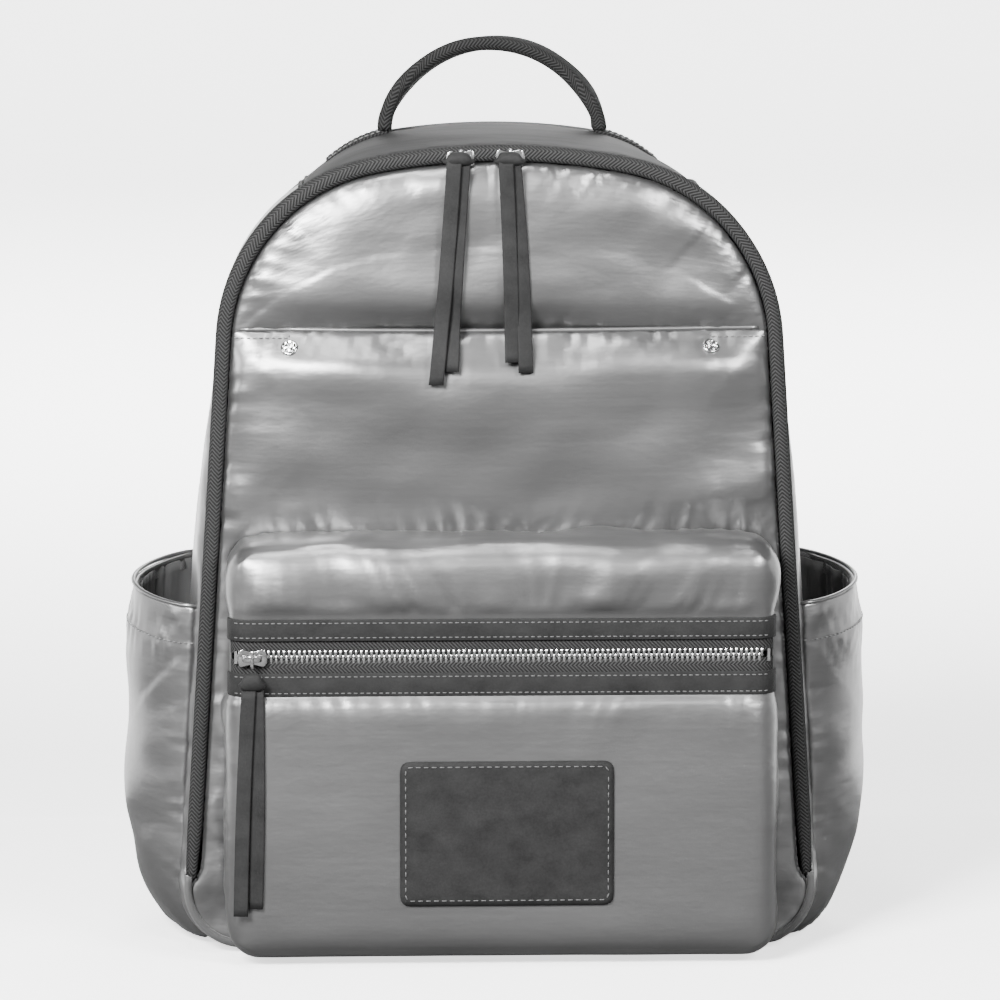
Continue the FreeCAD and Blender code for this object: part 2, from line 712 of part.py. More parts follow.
def slider(x, plate_y, z, back_y0, back_rise):
    """A slider facing the front: plate with a bail bar on two posts, and the plate behind the zipper."""
    x0, x1 = f"{x} - slider_length / 2", f"{x} + slider_length / 2"
    z0, z1 = f"{z} - slider_width / 2", f"{z} + slider_width / 2"
    front = f"{plate_y} - slider_wall"
    plate = box(x0, x1, front, plate_y, z0, z1)
    reach = f"{front} - bail_reach"
    posts = [
        box(a, b, f"{reach} - bail_radius", front, f"{z} - bail_radius", f"{z} + bail_radius")
        for a, b in ((x0, f"{x0} + slider_post"), (f"{x1} - slider_post", x1))
    ]
    bar = bar_along_x(f"{x0} + 0.5", f"{x1} - 0.5", reach, z, "bail_radius")
    back = box(x0, x1, back_y0, f"{back_y0} + slider_back_wall", z0, f"{z} + {back_rise}")
    return group(join(plate, bar, *posts), back)


def leather_pull(x, bar_y, z, length):
    """A folded strap: it loops round the bail bar, passes through its own knot and hangs as two tails."""
    half = "strap_leather / 2"
    loop = bar_along_x(f"{x} - {half}", f"{x} + {half}", bar_y, z, "eye_radius")
    eye = cut(loop, bar_along_x(f"{x} - {half} - 1", f"{x} + {half} + 1", bar_y, z, "bail_radius + 0.3"))
    low = f"{z} - knot_height / 2"
    knot = box(f"{x} - knot_half", f"{x} + knot_half", f"{bar_y} - knot_half", f"{bar_y} - 2",
               low, f"{z} + knot_height / 2")
    middle_y = f"{bar_y} - 3.8"
    end = f"{z} - {length}"
    front = box(f"{x} - strap_leather", x, f"{middle_y} - tail_wall", middle_y, end, low)
    rear = box(f"{x} - 1", f"{x} - 1 + strap_leather", middle_y, f"{middle_y} + tail_wall",
               f"{end} + tail_step", low)
    return join(eye, knot, front, rear)


MAIN_PLATE_Y = "front_y + 0.5"
MAIN_BAR_Y = f"{MAIN_PLATE_Y} - slider_wall - bail_reach"
MAIN_BAR_DROP = 4.8  # from the crest down to the bail bars
SLIDER_ANGLES = {"left": -3.4, "right": 0.85}  # degrees from the top of the crest arc


def turned_about_crest(piece, angle):
    """Carries a piece made at the top of the crest arc along that arc."""
    centre = Vector(0, 0, number("crest_z - crest_radius"))
    turn = Placement(Vector(), Rotation(Vector(0, 1, 0), angle), centre)
    piece.Placement = turn.multiply(piece.Placement)
    return piece


def main_sliders():
    """Two sliders on the crest arc. Their pulls hang plumb, wherever the sliders stand."""
    bar_z = f"crest_z - {MAIN_BAR_DROP}"
    reach = number(f"crest_radius - {MAIN_BAR_DROP}")
    for side, angle in SLIDER_ANGLES.items():
        made = slider("0", MAIN_PLATE_Y, bar_z, "front_y + 7.2", "2.8")
        finished(turned_about_crest(made, angle), f"main_slider_{side}")
        pull = leather_pull("0", MAIN_BAR_Y, bar_z, "main_pull_length")
        x, drop = reach * sin(radians(angle)), reach * (1 - cos(radians(angle)))
        pull.Placement = Placement(Vector(x, 0, -drop), Rotation())
        finished(pull, f"main_pull_leather_{side}")


POCKET_PLATE_Y = f"{POCKET_Y0} - 0.2"
POCKET_BAR_Y = f"{POCKET_PLATE_Y} - slider_wall - bail_reach"
RING_Z = "zip_z + bail_radius + ring_wire + 0.2 - ring_radius"
RING_TURN = 30  # degrees the ring turns about the vertical, so the bail bar passes through it


def ring_about_bar(wire):
    """The pull's ring. It hangs on the bail bar of the front pocket's slider."""
    made = doc.addObject("Part::Torus", "Hoop")
    turn = Rotation(Vector(0, 0, 1), RING_TURN).multiply(Rotation(Vector(1, 0, 0), 90))
    made.Placement = Placement(Vector(), turn)
    return bind(
        made,
        Radius1="ring_radius",
        Radius2=wire,
        Placement__Base__x="pocket_slider_x",
        Placement__Base__y=POCKET_BAR_Y,
        Placement__Base__z=RING_Z,
    )


def pocket_slider_and_pull():
    """The front pocket's slider, the ring behind its bail bar and the leather knotted on the ring."""
    x, y = "pocket_slider_x", POCKET_BAR_Y
    made = slider(x, POCKET_PLATE_Y, "zip_z", f"{FACE_Y1} + 1.8", "slider_width / 2")
    finished(made, "pocket_slider")
    finished(ring_about_bar("ring_wire"), "pocket_pull_ring")
    low = f"{RING_Z} - ring_radius"
    knot_end = f"{low} - 9"
    knot = box(f"{x} - 7.5", f"{x} + 7.5", f"{y} - 1.8", f"{y} + 1.8", knot_end, f"{low} + 2")
    end = f"{low} - pocket_pull_length"
    middle_y = f"{y} - 0.1"
    front = box(f"{x} + 0.5 - strap_leather", f"{x} + 0.5", f"{middle_y} - tail_wall", middle_y,
                end, knot_end)
    rear = box(f"{x} - 1", f"{x} - 1 + strap_leather", middle_y, f"{middle_y} + tail_wall",
               f"{end} + tail_step - 2", knot_end)
    clear = ring_about_bar("ring_wire + 0.15")
    finished(cut(join(knot, front, rear), clear), "pocket_pull_leather")


# ---- grab handle ------------------------------------------------------------------------------------------


def arch_face(inset):
    """Half-round arch seen from the front: two short legs and an arc over the top."""
    sketch = upright_sketch("Arch")
    x, top = f"(handle_half_span - {inset})", f"handle_base_z + handle_rise - {inset}"
    foot, leg = "handle_base_z", "handle_base_z + handle_leg"
    left, right = f"-{x}", x
    half, leg_z = number(x), number(leg)
    sketch.addGeometry(
        Part.Arc(Vector(half, leg_z, 0), Vector(0, number(top), 0), Vector(-half, leg_z, 0)), False
    )
    corners = [(left, leg), (left, foot), (right, foot), (right, leg)]
    points = [Vector(number(a), number(b), 0) for a, b in corners]
    for start, end in zip(points, points[1:]):
        sketch.addGeometry(Part.LineSegment(start, end), False)
    close_loop(sketch, len(corners))
    for piece, corner in enumerate(corners[:3], 1):
        fix_point(sketch, piece, START, *corner)
    fix_point(sketch, 3, END, *corners[3])
    rise = f"({top} - ({leg}))"
    centre_z = f"{leg} + ({rise} ^ 2 - {x} ^ 2) / (2 * {rise})"
    at = sketch.addConstraint(Sketcher.Constraint("DistanceY", -1, 1, 0, CENTRE, number(centre_z)))
    sketch.setExpression(f"Constraints[{at}]", cells(centre_z))
    return sketch


def handle():
    """Webbing grab handle, narrow where it folds and full width over the top."""
    y0, y1 = "handle_y - handle_width / 2", "handle_y + handle_width / 2"
    across = Vector(0, 1, 0)
    arch = extrude(arch_face("0"), across, y0, "handle_width")
    room = extrude(arch_face("handle_wall"), across, f"{y0} - 1", "handle_width + 2")
    wide_z = "handle_base_z + handle_taper"
    section = [
        ("handle_y - handle_foot / 2", "handle_base_z - 1"),
        ("handle_y + handle_foot / 2", "handle_base_z - 1"),
        (y1, wide_z),
        (y1, TOP),
        (y0, TOP),
        (y0, wide_z),
    ]
    taper = side_prism(section, "-2 * handle_half_span", "2 * handle_half_span")
    finished(common(cut(arch, room), taper), "grab_handle")


def handle_anchors():
    """The handle's flat ends, sewn to the top gusset outside its legs."""
    y0, y1 = "handle_y - anchor_width / 2", "handle_y + anchor_width / 2"
    near, far = "(handle_half_span - handle_wall)", "(handle_half_span + anchor_reach)"
    tabs = []
    for x0, x1 in ((f"-{far}", f"-{near}"), (near, far)):
        band = ring("gusset_wall + ply_gap + anchor_wall", "gusset_wall + ply_gap", y0, y1)
        tabs.append(common(band, column(x0, x1, MIDDLE_Z, TOP)))
    finished(group(*tabs), "handle_anchors")


# ---- bottle pockets ---------------------------------------------------------------------------------------


BOTTLE_ROOT = "foot_x - 10"
BOTTLE_EDGE = "foot_x + foot_radius - 6"


def bottle_level(body, sign, inset, level, reach):
    """One level of a bottle pocket, seen from above: an arc that bulges out between two straight sides."""
    sketch = body_sketch(body, "Level", "XY_Plane")
    bind(sketch, AttachmentOffset__Base__z=level)
    y0 = f"front_y + bottle_front_clear + {inset}"
    y1 = f"back_y - bottle_back_clear - {inset}"
    # Arcs in a sketch run anticlockwise, so the two sides are drawn in opposite directions.
    word, first, last = ("", y0, y1) if sign > 0 else ("-", y1, y0)
    root, edge = f"{word}({BOTTLE_ROOT})", f"{word}({BOTTLE_EDGE})"
    sag = f"({reach} - {inset})"
    root_x, edge_x, out_x = number(root), number(edge), number(f"{edge} + {sign} * {sag}")
    a, b = number(first), number(last)
    corners = [Vector(root_x, a, 0), Vector(edge_x, a, 0), Vector(edge_x, b, 0), Vector(root_x, b, 0)]
    sketch.addGeometry(Part.LineSegment(corners[0], corners[1]), False)
    sketch.addGeometry(Part.Arc(corners[1], Vector(out_x, (a + b) / 2, 0), corners[2]), False)
    sketch.addGeometry(Part.LineSegment(corners[2], corners[3]), False)
    sketch.addGeometry(Part.LineSegment(corners[3], corners[0]), False)
    close_loop(sketch, len(corners))
    fix_point(sketch, 0, START, root, first)
    fix_point(sketch, 0, END, edge, first)
    fix_point(sketch, 2, START, edge, last)
    fix_point(sketch, 2, END, root, last)
    half = f"(({y1} - ({y0})) / 2)"
    fix_radius(sketch, 1, f"({half} ^ 2 + {sag} ^ 2) / (2 * {sag})")
    return sketch


def bottle_block(sign, inset, floor):
    """A half-round pouch on one side: it stands nearly straight and draws in at its foot."""
    body = doc.addObject("PartDesign::Body", "Bottle")
    levels = [
        bottle_level(body, sign, f"({inset})", level, reach)
        for level, reach in (
            (floor, "bottle_foot_reach"),
            ("bottle_knee_z", "bottle_reach - 3"),
            ("bottle_back_z + 20", "bottle_reach"),
        )
    ]
    doc.recompute()
    loft = body.newObject("PartDesign::AdditiveLoft", "Pouch")
    loft.Profile = levels[0]
    loft.Sections = levels[1:]
    loft.Ruled = True
    return body


def above_rim(drop):
    """What lies above a bottle pocket's rim, which rises from front to back, or above a line under it."""
    slope = "(bottle_back_z - bottle_front_z) / (back_y - front_y - bottle_front_clear - bottle_back_clear)"
    section = [
        ("front_y", f"bottle_front_z - {slope} * bottle_front_clear - ({drop})"),
        ("back_y", f"bottle_back_z + {slope} * bottle_back_clear - ({drop})"),
        ("back_y", TOP),
        ("front_y", TOP),
    ]
    return side_prism(section, f"-{FAR}", f"{FAR}")


def pouch(sign, outside, inside, floor):
    """The layer of a bottle pocket between two depths inside its face, clear of the bag's own side."""
    layer = cut(bottle_block(sign, outside, f"ground_gap + {outside}"), bottle_block(sign, inside, floor))
    return cut(layer, slab("gusset_wall + 0.4", f"-{FAR}", f"{FAR}"))


def bottle_pockets():
    """Each bottle pocket is a padded outer, a lining, and elastic in the hem of its rim."""
    wall = "bottle_wall"
    elastics = []
    for side, sign in (("left", -1), ("right", 1)):
        outer = pouch(sign, "0", wall, f"ground_gap + {wall}")
        finished(cut(outer, above_rim("0")), f"side_pocket_{side}")
        skin = f"{wall} + ply_gap"
        inside = f"{skin} + bottle_skin"
        lining = pouch(sign, skin, inside, f"ground_gap + {inside}")
        finished(cut(lining, above_rim("hem_drop - 1")), f"side_pocket_lining_{side}")
        hem = f"{inside} + ply_gap"
        band = pouch(sign, hem, f"{hem} + bottle_skin", f"ground_gap + {hem}")
        under = cut(wide("0", TOP), above_rim("hem_drop + hem_height"))
        elastics.append(cut(cut(band, above_rim("hem_drop")), under))
    finished(group(*elastics), "side_pocket_elastics")


# ---- shoulder straps --------------------------------------------------------------------------------------

PAD_Y0 = "back_y + pad_gap"
PAD_HEAD_Z = "pad_top_z + 8"  # top of the pad before it is cut level at the hinge line
LOCK_Y = f"{PAD_Y0} + pad_lean"
PAD_FOOT_Z = "(pad_bottom_z - 3)"
SPLAY = "atan((pad_bottom_x - pad_top_x) / (pad_top_z - pad_bottom_z))"


def bowed_section():
    """Side view of a strap's pad, which bows out behind the back: two arcs on one centre."""
    sketch = side_sketch("PadSection")
    top = Vector(number(PAD_Y0), number(PAD_HEAD_Z), 0)
    low = Vector(number(LOCK_Y), number("pad_bottom_z"), 0)
    chord = low - top
    bow = number("pad_bow")
    radius = (chord.Length**2 / 4 + bow**2) / (2 * bow)
    outward_way = Vector(-chord.y, chord.x, 0).normalize()
    middle = (low + top) / 2
    centre = middle + outward_way * (bow - radius)

    def outward(p):
        return centre + (p - centre).normalize() * (radius + number("pad_wall"))

    inner = Part.Arc(low, middle + outward_way * bow, top)
    outer = Part.Arc(outward(low), outward(middle + outward_way), outward(top))
    for piece in (inner, Part.LineSegment(top, outward(top)), outer, Part.LineSegment(outward(low), low)):
        sketch.addGeometry(piece, False)
    for corner in ((0, END, 1, START), (1, END, 2, END), (2, START, 3, START), (3, END, 0, START)):
        sketch.addConstraint(Sketcher.Constraint("Coincident", *corner))
    sketch.addConstraint(Sketcher.Constraint("Coincident", 0, CENTRE, 2, CENTRE))
    sketch.addConstraint(Sketcher.Constraint("PointOnObject", 0, CENTRE, 1))
    sketch.addConstraint(Sketcher.Constraint("PointOnObject", 0, CENTRE, 3))
    fix_point(sketch, 0, END, PAD_Y0, PAD_HEAD_Z)
    fix_point(sketch, 0, START, LOCK_Y, "pad_bottom_z")
    span = f"sqrt(pad_lean ^ 2 + ({PAD_HEAD_Z} - pad_bottom_z) ^ 2)"
    inner_radius = f"({span} ^ 2 / 4 + pad_bow ^ 2) / (2 * pad_bow)"
    fix_radius(sketch, 0, inner_radius)
    fix_radius(sketch, 2, f"{inner_radius} + pad_wall")
    return sketch


def splayed(piece, sign):
    """Leans a piece made on the middle line to one side, about the strap's top."""
    leaned = group(piece)
    turn = Rotation(Vector(0, 1, 0), -sign * number(SPLAY))
    top_z = number("pad_top_z")
    leaned.Placement = Placement(Vector(sign * number("pad_top_x"), 0, 0), turn, Vector(0, 0, top_z))
    return leaned


def strap_pad():
    """The padded part of a shoulder strap."""
    return extrude(bowed_section(), Vector(1, 0, 0), "-pad_width / 2", "pad_width")


def ladder_lock():
    """The strap's adjuster: a plate with three windows that the webbing passes through."""
    top = f"{PAD_FOOT_Z} - 0.4"
    lock = box("-lock_half", "lock_half", LOCK_Y, f"{LOCK_Y} + lock_wall", f"{top} - lock_height", top)
    for near, far in (("4", "8"), ("11.5", "14.5"), ("18", "22")):
        window = box(
            "-lock_window_half",
            "lock_window_half",
            f"{LOCK_Y} - 1",
            f"{LOCK_Y} + lock_wall + 1",
            f"{PAD_FOOT_Z} - {far}",
            f"{PAD_FOOT_Z} - {near}",
        )
        lock = cut(lock, window)
    return lock


def strap_tail():
    """The webbing's loose end, hanging from the ladder lock."""
    y0 = f"{LOCK_Y} + lock_wall + ply_gap"
    top = f"{PAD_FOOT_Z} - 10"
    x = "webbing_width / 2"
    return box(f"-{x}", x, y0, f"{y0} + webbing_wall", f"{top} - tail_length", top)


def lower_webbing(sign):
    """The lower webbing runs straight from the lock to the tab sewn at the bottom corner."""
    start = Vector(sign * number("pad_bottom_x + 6"), number(f"{LOCK_Y} + 2"), number(f"{PAD_FOOT_Z} - 27"))
    end = Vector(sign * number("tab_x"), number("back_y + 5"), number("tab_z + tab_height"))
    webbing = doc.addObject("Part::Box", "Webbing")
    bind(webbing, Length="webbing_width", Width="webbing_wall")
    webbing.Height = (end - start).Length
    down = (end - start).normalize()
    across = Vector(1, 0, 0) - down * down.x
    across.normalize()
    turn = Rotation(across, down.cross(across), down, "XZY")
    webbing.Placement = Placement(start - across * (number("webbing_width") / 2), turn)
    return webbing


def lower_tab(sign):
    """The square of cloth that holds the lower webbing to the back."""
    x = f"{sign} * tab_x"
    y0 = "back_y + 0.1"
    return box(f"{x} - tab_half", f"{x} + tab_half", y0, f"{y0} + tab_wall", "tab_z", "tab_z + tab_height")


def shoulder_straps():
    """Pads, ladder locks, webbing and its tails, and what sews them to the back."""
    y0, z0 = "back_y + 0.1", "pad_top_z + 1"
    yoke_band = box("-yoke_half", "yoke_half", y0, f"{y0} + yoke_wall", z0, f"{z0} + yoke_height")
    finished(yoke_band, "strap_yoke")
    for side, sign in (("left", -1), ("right", 1)):
        pad = common(splayed(strap_pad(), sign), wide("0", "pad_top_z - 0.2"))
        finished(pad, f"strap_pad_{side}")
        finished(splayed(ladder_lock(), sign), f"ladder_lock_{side}")
        finished(splayed(strap_tail(), sign), f"strap_tail_{side}")
        finished(lower_webbing(sign), f"strap_webbing_{side}")
    finished(group(lower_tab(-1), lower_tab(1)), "lower_strap_tabs")


gusset()
back_and_lining()
main_zipper()
front_panel()
fixed_front()
front_pocket()
main_sliders()
pocket_slider_and_pull()
handle()
handle_anchors()
bottle_pockets()
shoulder_straps()
doc.recompute()

for obj in doc.Objects:
    if "Invalid" in obj.State or "Error" in obj.State:
        raise SystemExit(f"{obj.Name} ({obj.Label}) failed: {obj.State}")
os.makedirs("parts", exist_ok=True)
for obj in subparts:
    shape = obj.Shape
    if shape.isNull() or not shape.isValid() or not shape.Solids:
        raise SystemExit(f"{obj.Label} has no valid solid")
    shape.exportStep(f"parts/{obj.Label}.step")
print(len(subparts), "sub-parts")
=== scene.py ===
import math
import random

import bmesh
import bpy
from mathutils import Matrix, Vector, noise
from mathutils.bvhtree import BVHTree
from mathutils.kdtree import KDTree


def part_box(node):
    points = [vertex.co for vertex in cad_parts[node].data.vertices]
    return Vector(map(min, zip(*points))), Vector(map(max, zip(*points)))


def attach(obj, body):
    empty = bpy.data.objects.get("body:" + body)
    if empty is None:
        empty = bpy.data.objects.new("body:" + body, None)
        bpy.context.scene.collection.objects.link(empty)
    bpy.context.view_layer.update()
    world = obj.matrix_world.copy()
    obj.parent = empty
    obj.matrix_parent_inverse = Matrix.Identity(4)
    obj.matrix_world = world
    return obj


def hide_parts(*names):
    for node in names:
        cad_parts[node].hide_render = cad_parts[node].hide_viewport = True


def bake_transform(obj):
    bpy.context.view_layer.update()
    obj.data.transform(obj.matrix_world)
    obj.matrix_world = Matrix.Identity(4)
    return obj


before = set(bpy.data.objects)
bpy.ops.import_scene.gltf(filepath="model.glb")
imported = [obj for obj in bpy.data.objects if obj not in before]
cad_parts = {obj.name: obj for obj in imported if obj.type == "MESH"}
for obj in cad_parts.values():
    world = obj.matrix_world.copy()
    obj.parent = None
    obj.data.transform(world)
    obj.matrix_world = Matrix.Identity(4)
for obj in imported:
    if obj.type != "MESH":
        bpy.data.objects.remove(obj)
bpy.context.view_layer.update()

# A padded diaper backpack. Shapes are worked out in millimetres and become metres in mesh_piece().
# X runs across the bag, +Y from its front to its back and +Z up. The outline is the bag's arch seen from
# the front: "s" is the distance along it from the crest, and "n" the distance outside it.

MM = 0.001
SIDES = (("left", -1), ("right", 1))

CREST_Z, CREST_R = 414, 340
CREST_CENTRE_Z = CREST_Z - CREST_R
SHOULDER_X, SHOULDER_R = 46.3, 97.5
FOOT_X, FOOT_Z, FOOT_R = 131.5, 33, 30
FRONT_Y, BACK_Y = -71, 69
GUSSET_Y0, GUSSET_Y1 = -57, 66.5
PANEL_N = -7.4  # the front panel's cloth ends inside the zipper
PANEL_Y, YOKE_Y, LINING_Y = -68.6, -68.4, -58.6
FOLD_Z, SLIP_Z, RIVET_X = 35, 323, 107
TOP_HALF, BASE_HALF = 101, 125
POCKET_X, POCKET_TOP, POCKET_Y = 138, 216.5, -111
GROUND_GAP = 3.5
ZIP_Z = 160
TOOTH_PITCH = 2.6
STITCH_PITCH, CLOSE_PITCH = 3.6, 3.2
UP, BACKWARD, FORWARD, RIGHT = Vector((0, 0, 1)), Vector((0, 1, 0)), Vector((0, -1, 0)), Vector((1, 0, 0))


# ---- the outline ---------------------------------------------------------------------------------


class Outline:
    """The bag's arch seen from the front, against the distance s from the crest, negative to the left."""

    STEP = 0.5

    def __init__(self):
        crest = Vector((0, CREST_CENTRE_Z))
        lift = math.sqrt((CREST_R - SHOULDER_R) ** 2 - SHOULDER_X**2)
        shoulder = Vector((SHOULDER_X, crest.y + lift))
        foot = Vector((FOOT_X, FOOT_Z))
        join = math.atan2(lift, SHOULDER_X)
        span = foot - shoulder
        side = math.atan2(span.y, span.x) + math.acos((SHOULDER_R - FOOT_R) / span.length)
        self.points = []
        self._arc(crest, CREST_R, math.pi / 2, join)
        self._arc(shoulder, SHOULDER_R, join, side)
        self._line(foot + FOOT_R * Vector((math.cos(side), math.sin(side))))
        self._arc(foot, FOOT_R, side, -math.pi / 2)
        self._line(Vector((0, FOOT_Z - FOOT_R)))
        self.half = (len(self.points) - 1) * self.STEP

    def _arc(self, centre, radius, start, end):
        count = max(2, round(radius * (start - end) / self.STEP))
        for i in range(count):
            a = start + (end - start) * i / count
            normal = Vector((math.cos(a), math.sin(a)))
            self.points.append((centre + normal * radius, normal))

    def _line(self, end):
        start, normal = self.points[-1]
        count = max(2, round((end - start).length / self.STEP))
        for i in range(1, count):
            self.points.append((start.lerp(end, i / count), normal))

    def at(self, s, n=0.0):
        """The point (x, z) at distance s from the crest, n outside the outline."""
        place = min(abs(s) / self.STEP, len(self.points) - 1.001)
        i = int(place)
        (p, a), (q, b) = self.points[i], self.points[i + 1]
        point = p.lerp(q, place - i) + a.lerp(b, place - i) * n
        return Vector((-point.x if s < 0 else point.x, point.y))

    def find(self, test):
        """The first distance from the crest at which test(x, z) holds."""
        return next(i * self.STEP for i, (p, _) in enumerate(self.points) if test(p.x, p.y))


outline = Outline()
S_FOLD = outline.find(lambda x, z: z < FOLD_Z)
S_ARCH = outline.find(lambda x, z: x > 112)
S_SLIP = outline.find(lambda x, z: z < SLIP_Z)
S_TOP = outline.find(lambda x, z: x > TOP_HALF)
S_BASE = outline.find(lambda x, z: z < FOOT_Z and x < BASE_HALF)
S_CORNER = outline.find(lambda x, z: z < 3.6)


def side_x(z, n=0.0):
    """How far out the outline is at a height on its straight side."""
    s = outline.find(lambda x, height: height < z)
    return outline.at(s, n).x


def smooth(a, b, value):
    """0 below a, 1 above b, and an even curve between them."""
    share = min(max((value - a) / (b - a), 0), 1)
    return share * share * (3 - 2 * share)


def clamp(value, limit):
    return min(max(value, -limit), limit)


def slump(s, y):
    """How far the soft shoulders sink towards the back."""
    shoulder = smooth(50, 110, abs(s)) * (1 - smooth(215, 320, abs(s)))
    return 9 * shoulder * smooth(GUSSET_Y0 - 20, BACK_Y, y)


def ripple(p, size, seed=0.0):
    """Smooth noise from -1 to 1 whose bumps are about size millimetres across."""
    return noise.noise(Vector((p[0] / size + seed, p[1] / size - seed, p[2] / size + 2 * seed)))


# ---- meshes --------------------------------------------------------------------------------------


def mesh_piece(name, points, faces, material, uvs=None, flat=False):
    """A new object from points in millimetres. uvs gives each point's place in its cloth, in millimetres."""
    mesh = bpy.data.meshes.new(name)
    mesh.from_pydata([Vector(p) * MM for p in points], [], faces)
    if uvs:
        layer = mesh.uv_layers.new(name="Pattern")
        for loop in mesh.loops:
            layer.data[loop.index].uv = uvs[loop.vertex_index]
    mesh.validate()
    mesh.polygons.foreach_set("use_smooth", [not flat] * len(mesh.polygons))
    piece = bpy.data.objects.new(name, mesh)
    bpy.context.scene.collection.objects.link(piece)
    mesh.materials.append(material)
    return piece


def grid(rows, columns, point):
    """Rows of points from point(u, v): u runs from 0 to 1 along each row, and v from row to row."""
    return [[point(j / columns, i / rows) for j in range(columns + 1)] for i in range(rows + 1)]


def grid_faces(rows, columns, wrap=False, flip=False):
    """Quads of a grid whose points are listed row by row."""
    faces = []
    for i in range(rows - 1):
        for j in range(columns if wrap else columns - 1):
            k = (j + 1) % columns
            quad = (i * columns + j, i * columns + k, (i + 1) * columns + k, (i + 1) * columns + j)
            faces.append(quad[::-1] if flip else quad)
    return faces


def grid_uvs(rows):
    """A pattern place for each point of a grid: the distance along its row and down its first column."""
    uvs, down = [], 0.0
    for i, row in enumerate(rows):
        if i:
            down += (Vector(row[len(row) // 2]) - Vector(rows[i - 1][len(row) // 2])).length
        along = 0.0
        for j, p in enumerate(row):
            if j:
                along += (Vector(p) - Vector(row[j - 1])).length
            uvs.append((along, down))
    return uvs


def sheet_piece(name, rows, material, flip=False, thickness=0.0):
    """An open grid of points as a piece. Thickness grows it to the back of its faces."""
    points = [p for row in rows for p in row]
    faces = grid_faces(len(rows), len(rows[0]), flip=flip)
    piece = mesh_piece(name, points, faces, material, grid_uvs(rows))
    if thickness:
        solid = piece.modifiers.new("Thickness", "SOLIDIFY")
        solid.thickness, solid.offset = thickness * MM, -1
        apply_modifiers(piece)
    return piece


def loft(name, rings, material, closed=False):
    """A solid through rings of points. closed joins its ends, which are capped otherwise."""
    count = len(rings[0])
    points = [p for ring in rings for p in ring]
    loop = rings + [rings[0]] if closed else rings
    faces = [tuple(i % len(points) for i in face) for face in grid_faces(len(loop), count, wrap=True)]
    if not closed:
        faces.append(tuple(range(count))[::-1])
        faces.append(tuple(range(len(points) - count, len(points))))
    uvs, along = [], 0.0
    for i, ring in enumerate(rings):
        if i:
            along += (centre_of(ring) - centre_of(rings[i - 1])).length
        around = 0.0
        for j, p in enumerate(ring):
            if j:
                around += (Vector(p) - Vector(ring[j - 1])).length
            uvs.append((along, around))
    return mesh_piece(name, points, faces, material, uvs)


def centre_of(ring):
    return sum((Vector(p) for p in ring), Vector()) / len(ring)


def apply_modifiers(piece):
    """Makes the modifiers' result the mesh."""
    graph = bpy.context.evaluated_depsgraph_get()
    mesh = bpy.data.meshes.new_from_object(piece.evaluated_get(graph))
    piece.modifiers.clear()
    piece.data = mesh
    return piece


def rounded_loop(half_width, half_height, corner, per_corner=3):
    """A rectangle with round corners as (a, b) pairs."""
    corner = min(corner, half_width, half_height)
    loop = []
    for quadrant, (sa, sb) in enumerate(((1, 1), (-1, 1), (-1, -1), (1, -1))):
        for k in range(per_corner + 1):
            angle = (quadrant + k / per_corner) * math.pi / 2
            a = sa * (half_width - corner) + corner * math.cos(angle)
            b = sb * (half_height - corner) + corner * math.sin(angle)
            loop.append((a, b))
    return loop


BAND_CORNER = 0.42  # a strap's edge radius as a share of its thickness


def band(name, path, across, widths, thickness, material, crown=0.0):
    """A flat strap along a path, with the way across it and its width at each point of the path."""
    rings = []
    for i, point in enumerate(path):
        ahead = path[min(i + 1, len(path) - 1)] - path[max(i - 1, 0)]
        side = across[i].normalized()
        up = side.cross(ahead).normalized()
        loop = rounded_loop(widths[i] / 2, thickness / 2, thickness * BAND_CORNER)
        bulge = [crown * (1 - (2 * a / widths[i]) ** 2) for a, _ in loop]
        rings.append([point + side * a + up * (b + lift) for (a, b), lift in zip(loop, bulge)])
    return loft(name, rings, material)


def tube(name, path, radius, material, closed=False, sides=10, start=None):
    """A round cord along a path."""
    rings, up = [], start or UP
    for i, point in enumerate(path):
        before = path[i - 1] if closed or i else point
        after = path[(i + 1) % len(path)] if closed or i + 1 < len(path) else point
        ahead = (after - before).normalized()
        side = ahead.cross(up).normalized()
        up = side.cross(ahead).normalized()
        turns = [2 * math.pi * k / sides for k in range(sides)]
        rings.append([point + radius * (side * math.cos(a) + up * math.sin(a)) for a in turns])
    return loft(name, rings, material, closed)


def joined(name, pieces):
    """Several new objects made into one, with their materials kept."""
    merged = bmesh.new()
    mesh = bpy.data.meshes.new(name)
    for piece in pieces:
        for material in piece.data.materials:
            if material.name not in mesh.materials:
                mesh.materials.append(material)
        start = len(merged.faces)
        merged.from_mesh(piece.data)
        merged.faces.ensure_lookup_table()
        slots = [mesh.materials.find(m.name) for m in piece.data.materials]
        for face in merged.faces[start:]:
            face.material_index = slots[face.material_index] if slots else 0
    merged.to_mesh(mesh)
    merged.free()
    for piece in pieces:
        bpy.data.objects.remove(piece)
    whole = bpy.data.objects.new(name, mesh)
    bpy.context.scene.collection.objects.link(whole)
    return whole


def placed(piece, body, slot, *nodes):
    """Puts a finished piece on its body in place of CAD nodes. slot, the record's finish, is not used."""
    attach(piece, body)
    if nodes:
        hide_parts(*nodes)
    return piece


def bent(piece, child, start, end, slot, *nodes):
    """A finished piece of fabric, kept where it lies in place of CAD nodes, on no body. child, start, end
    and slot are not used.
    """
    if nodes:
        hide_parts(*nodes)
    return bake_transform(piece)


# ---- cloth ---------------------------------------------------------------------------------------

CLOTH_SCALE = 10  # cloth is settled ten times life size, where the solver's stiffness suits a 4 mm grid
CLOTH_FRAMES = 24
CLOTH_JOLT = 0.25
PRESSURE = 160
FLOOR_CLEAR = 0.5


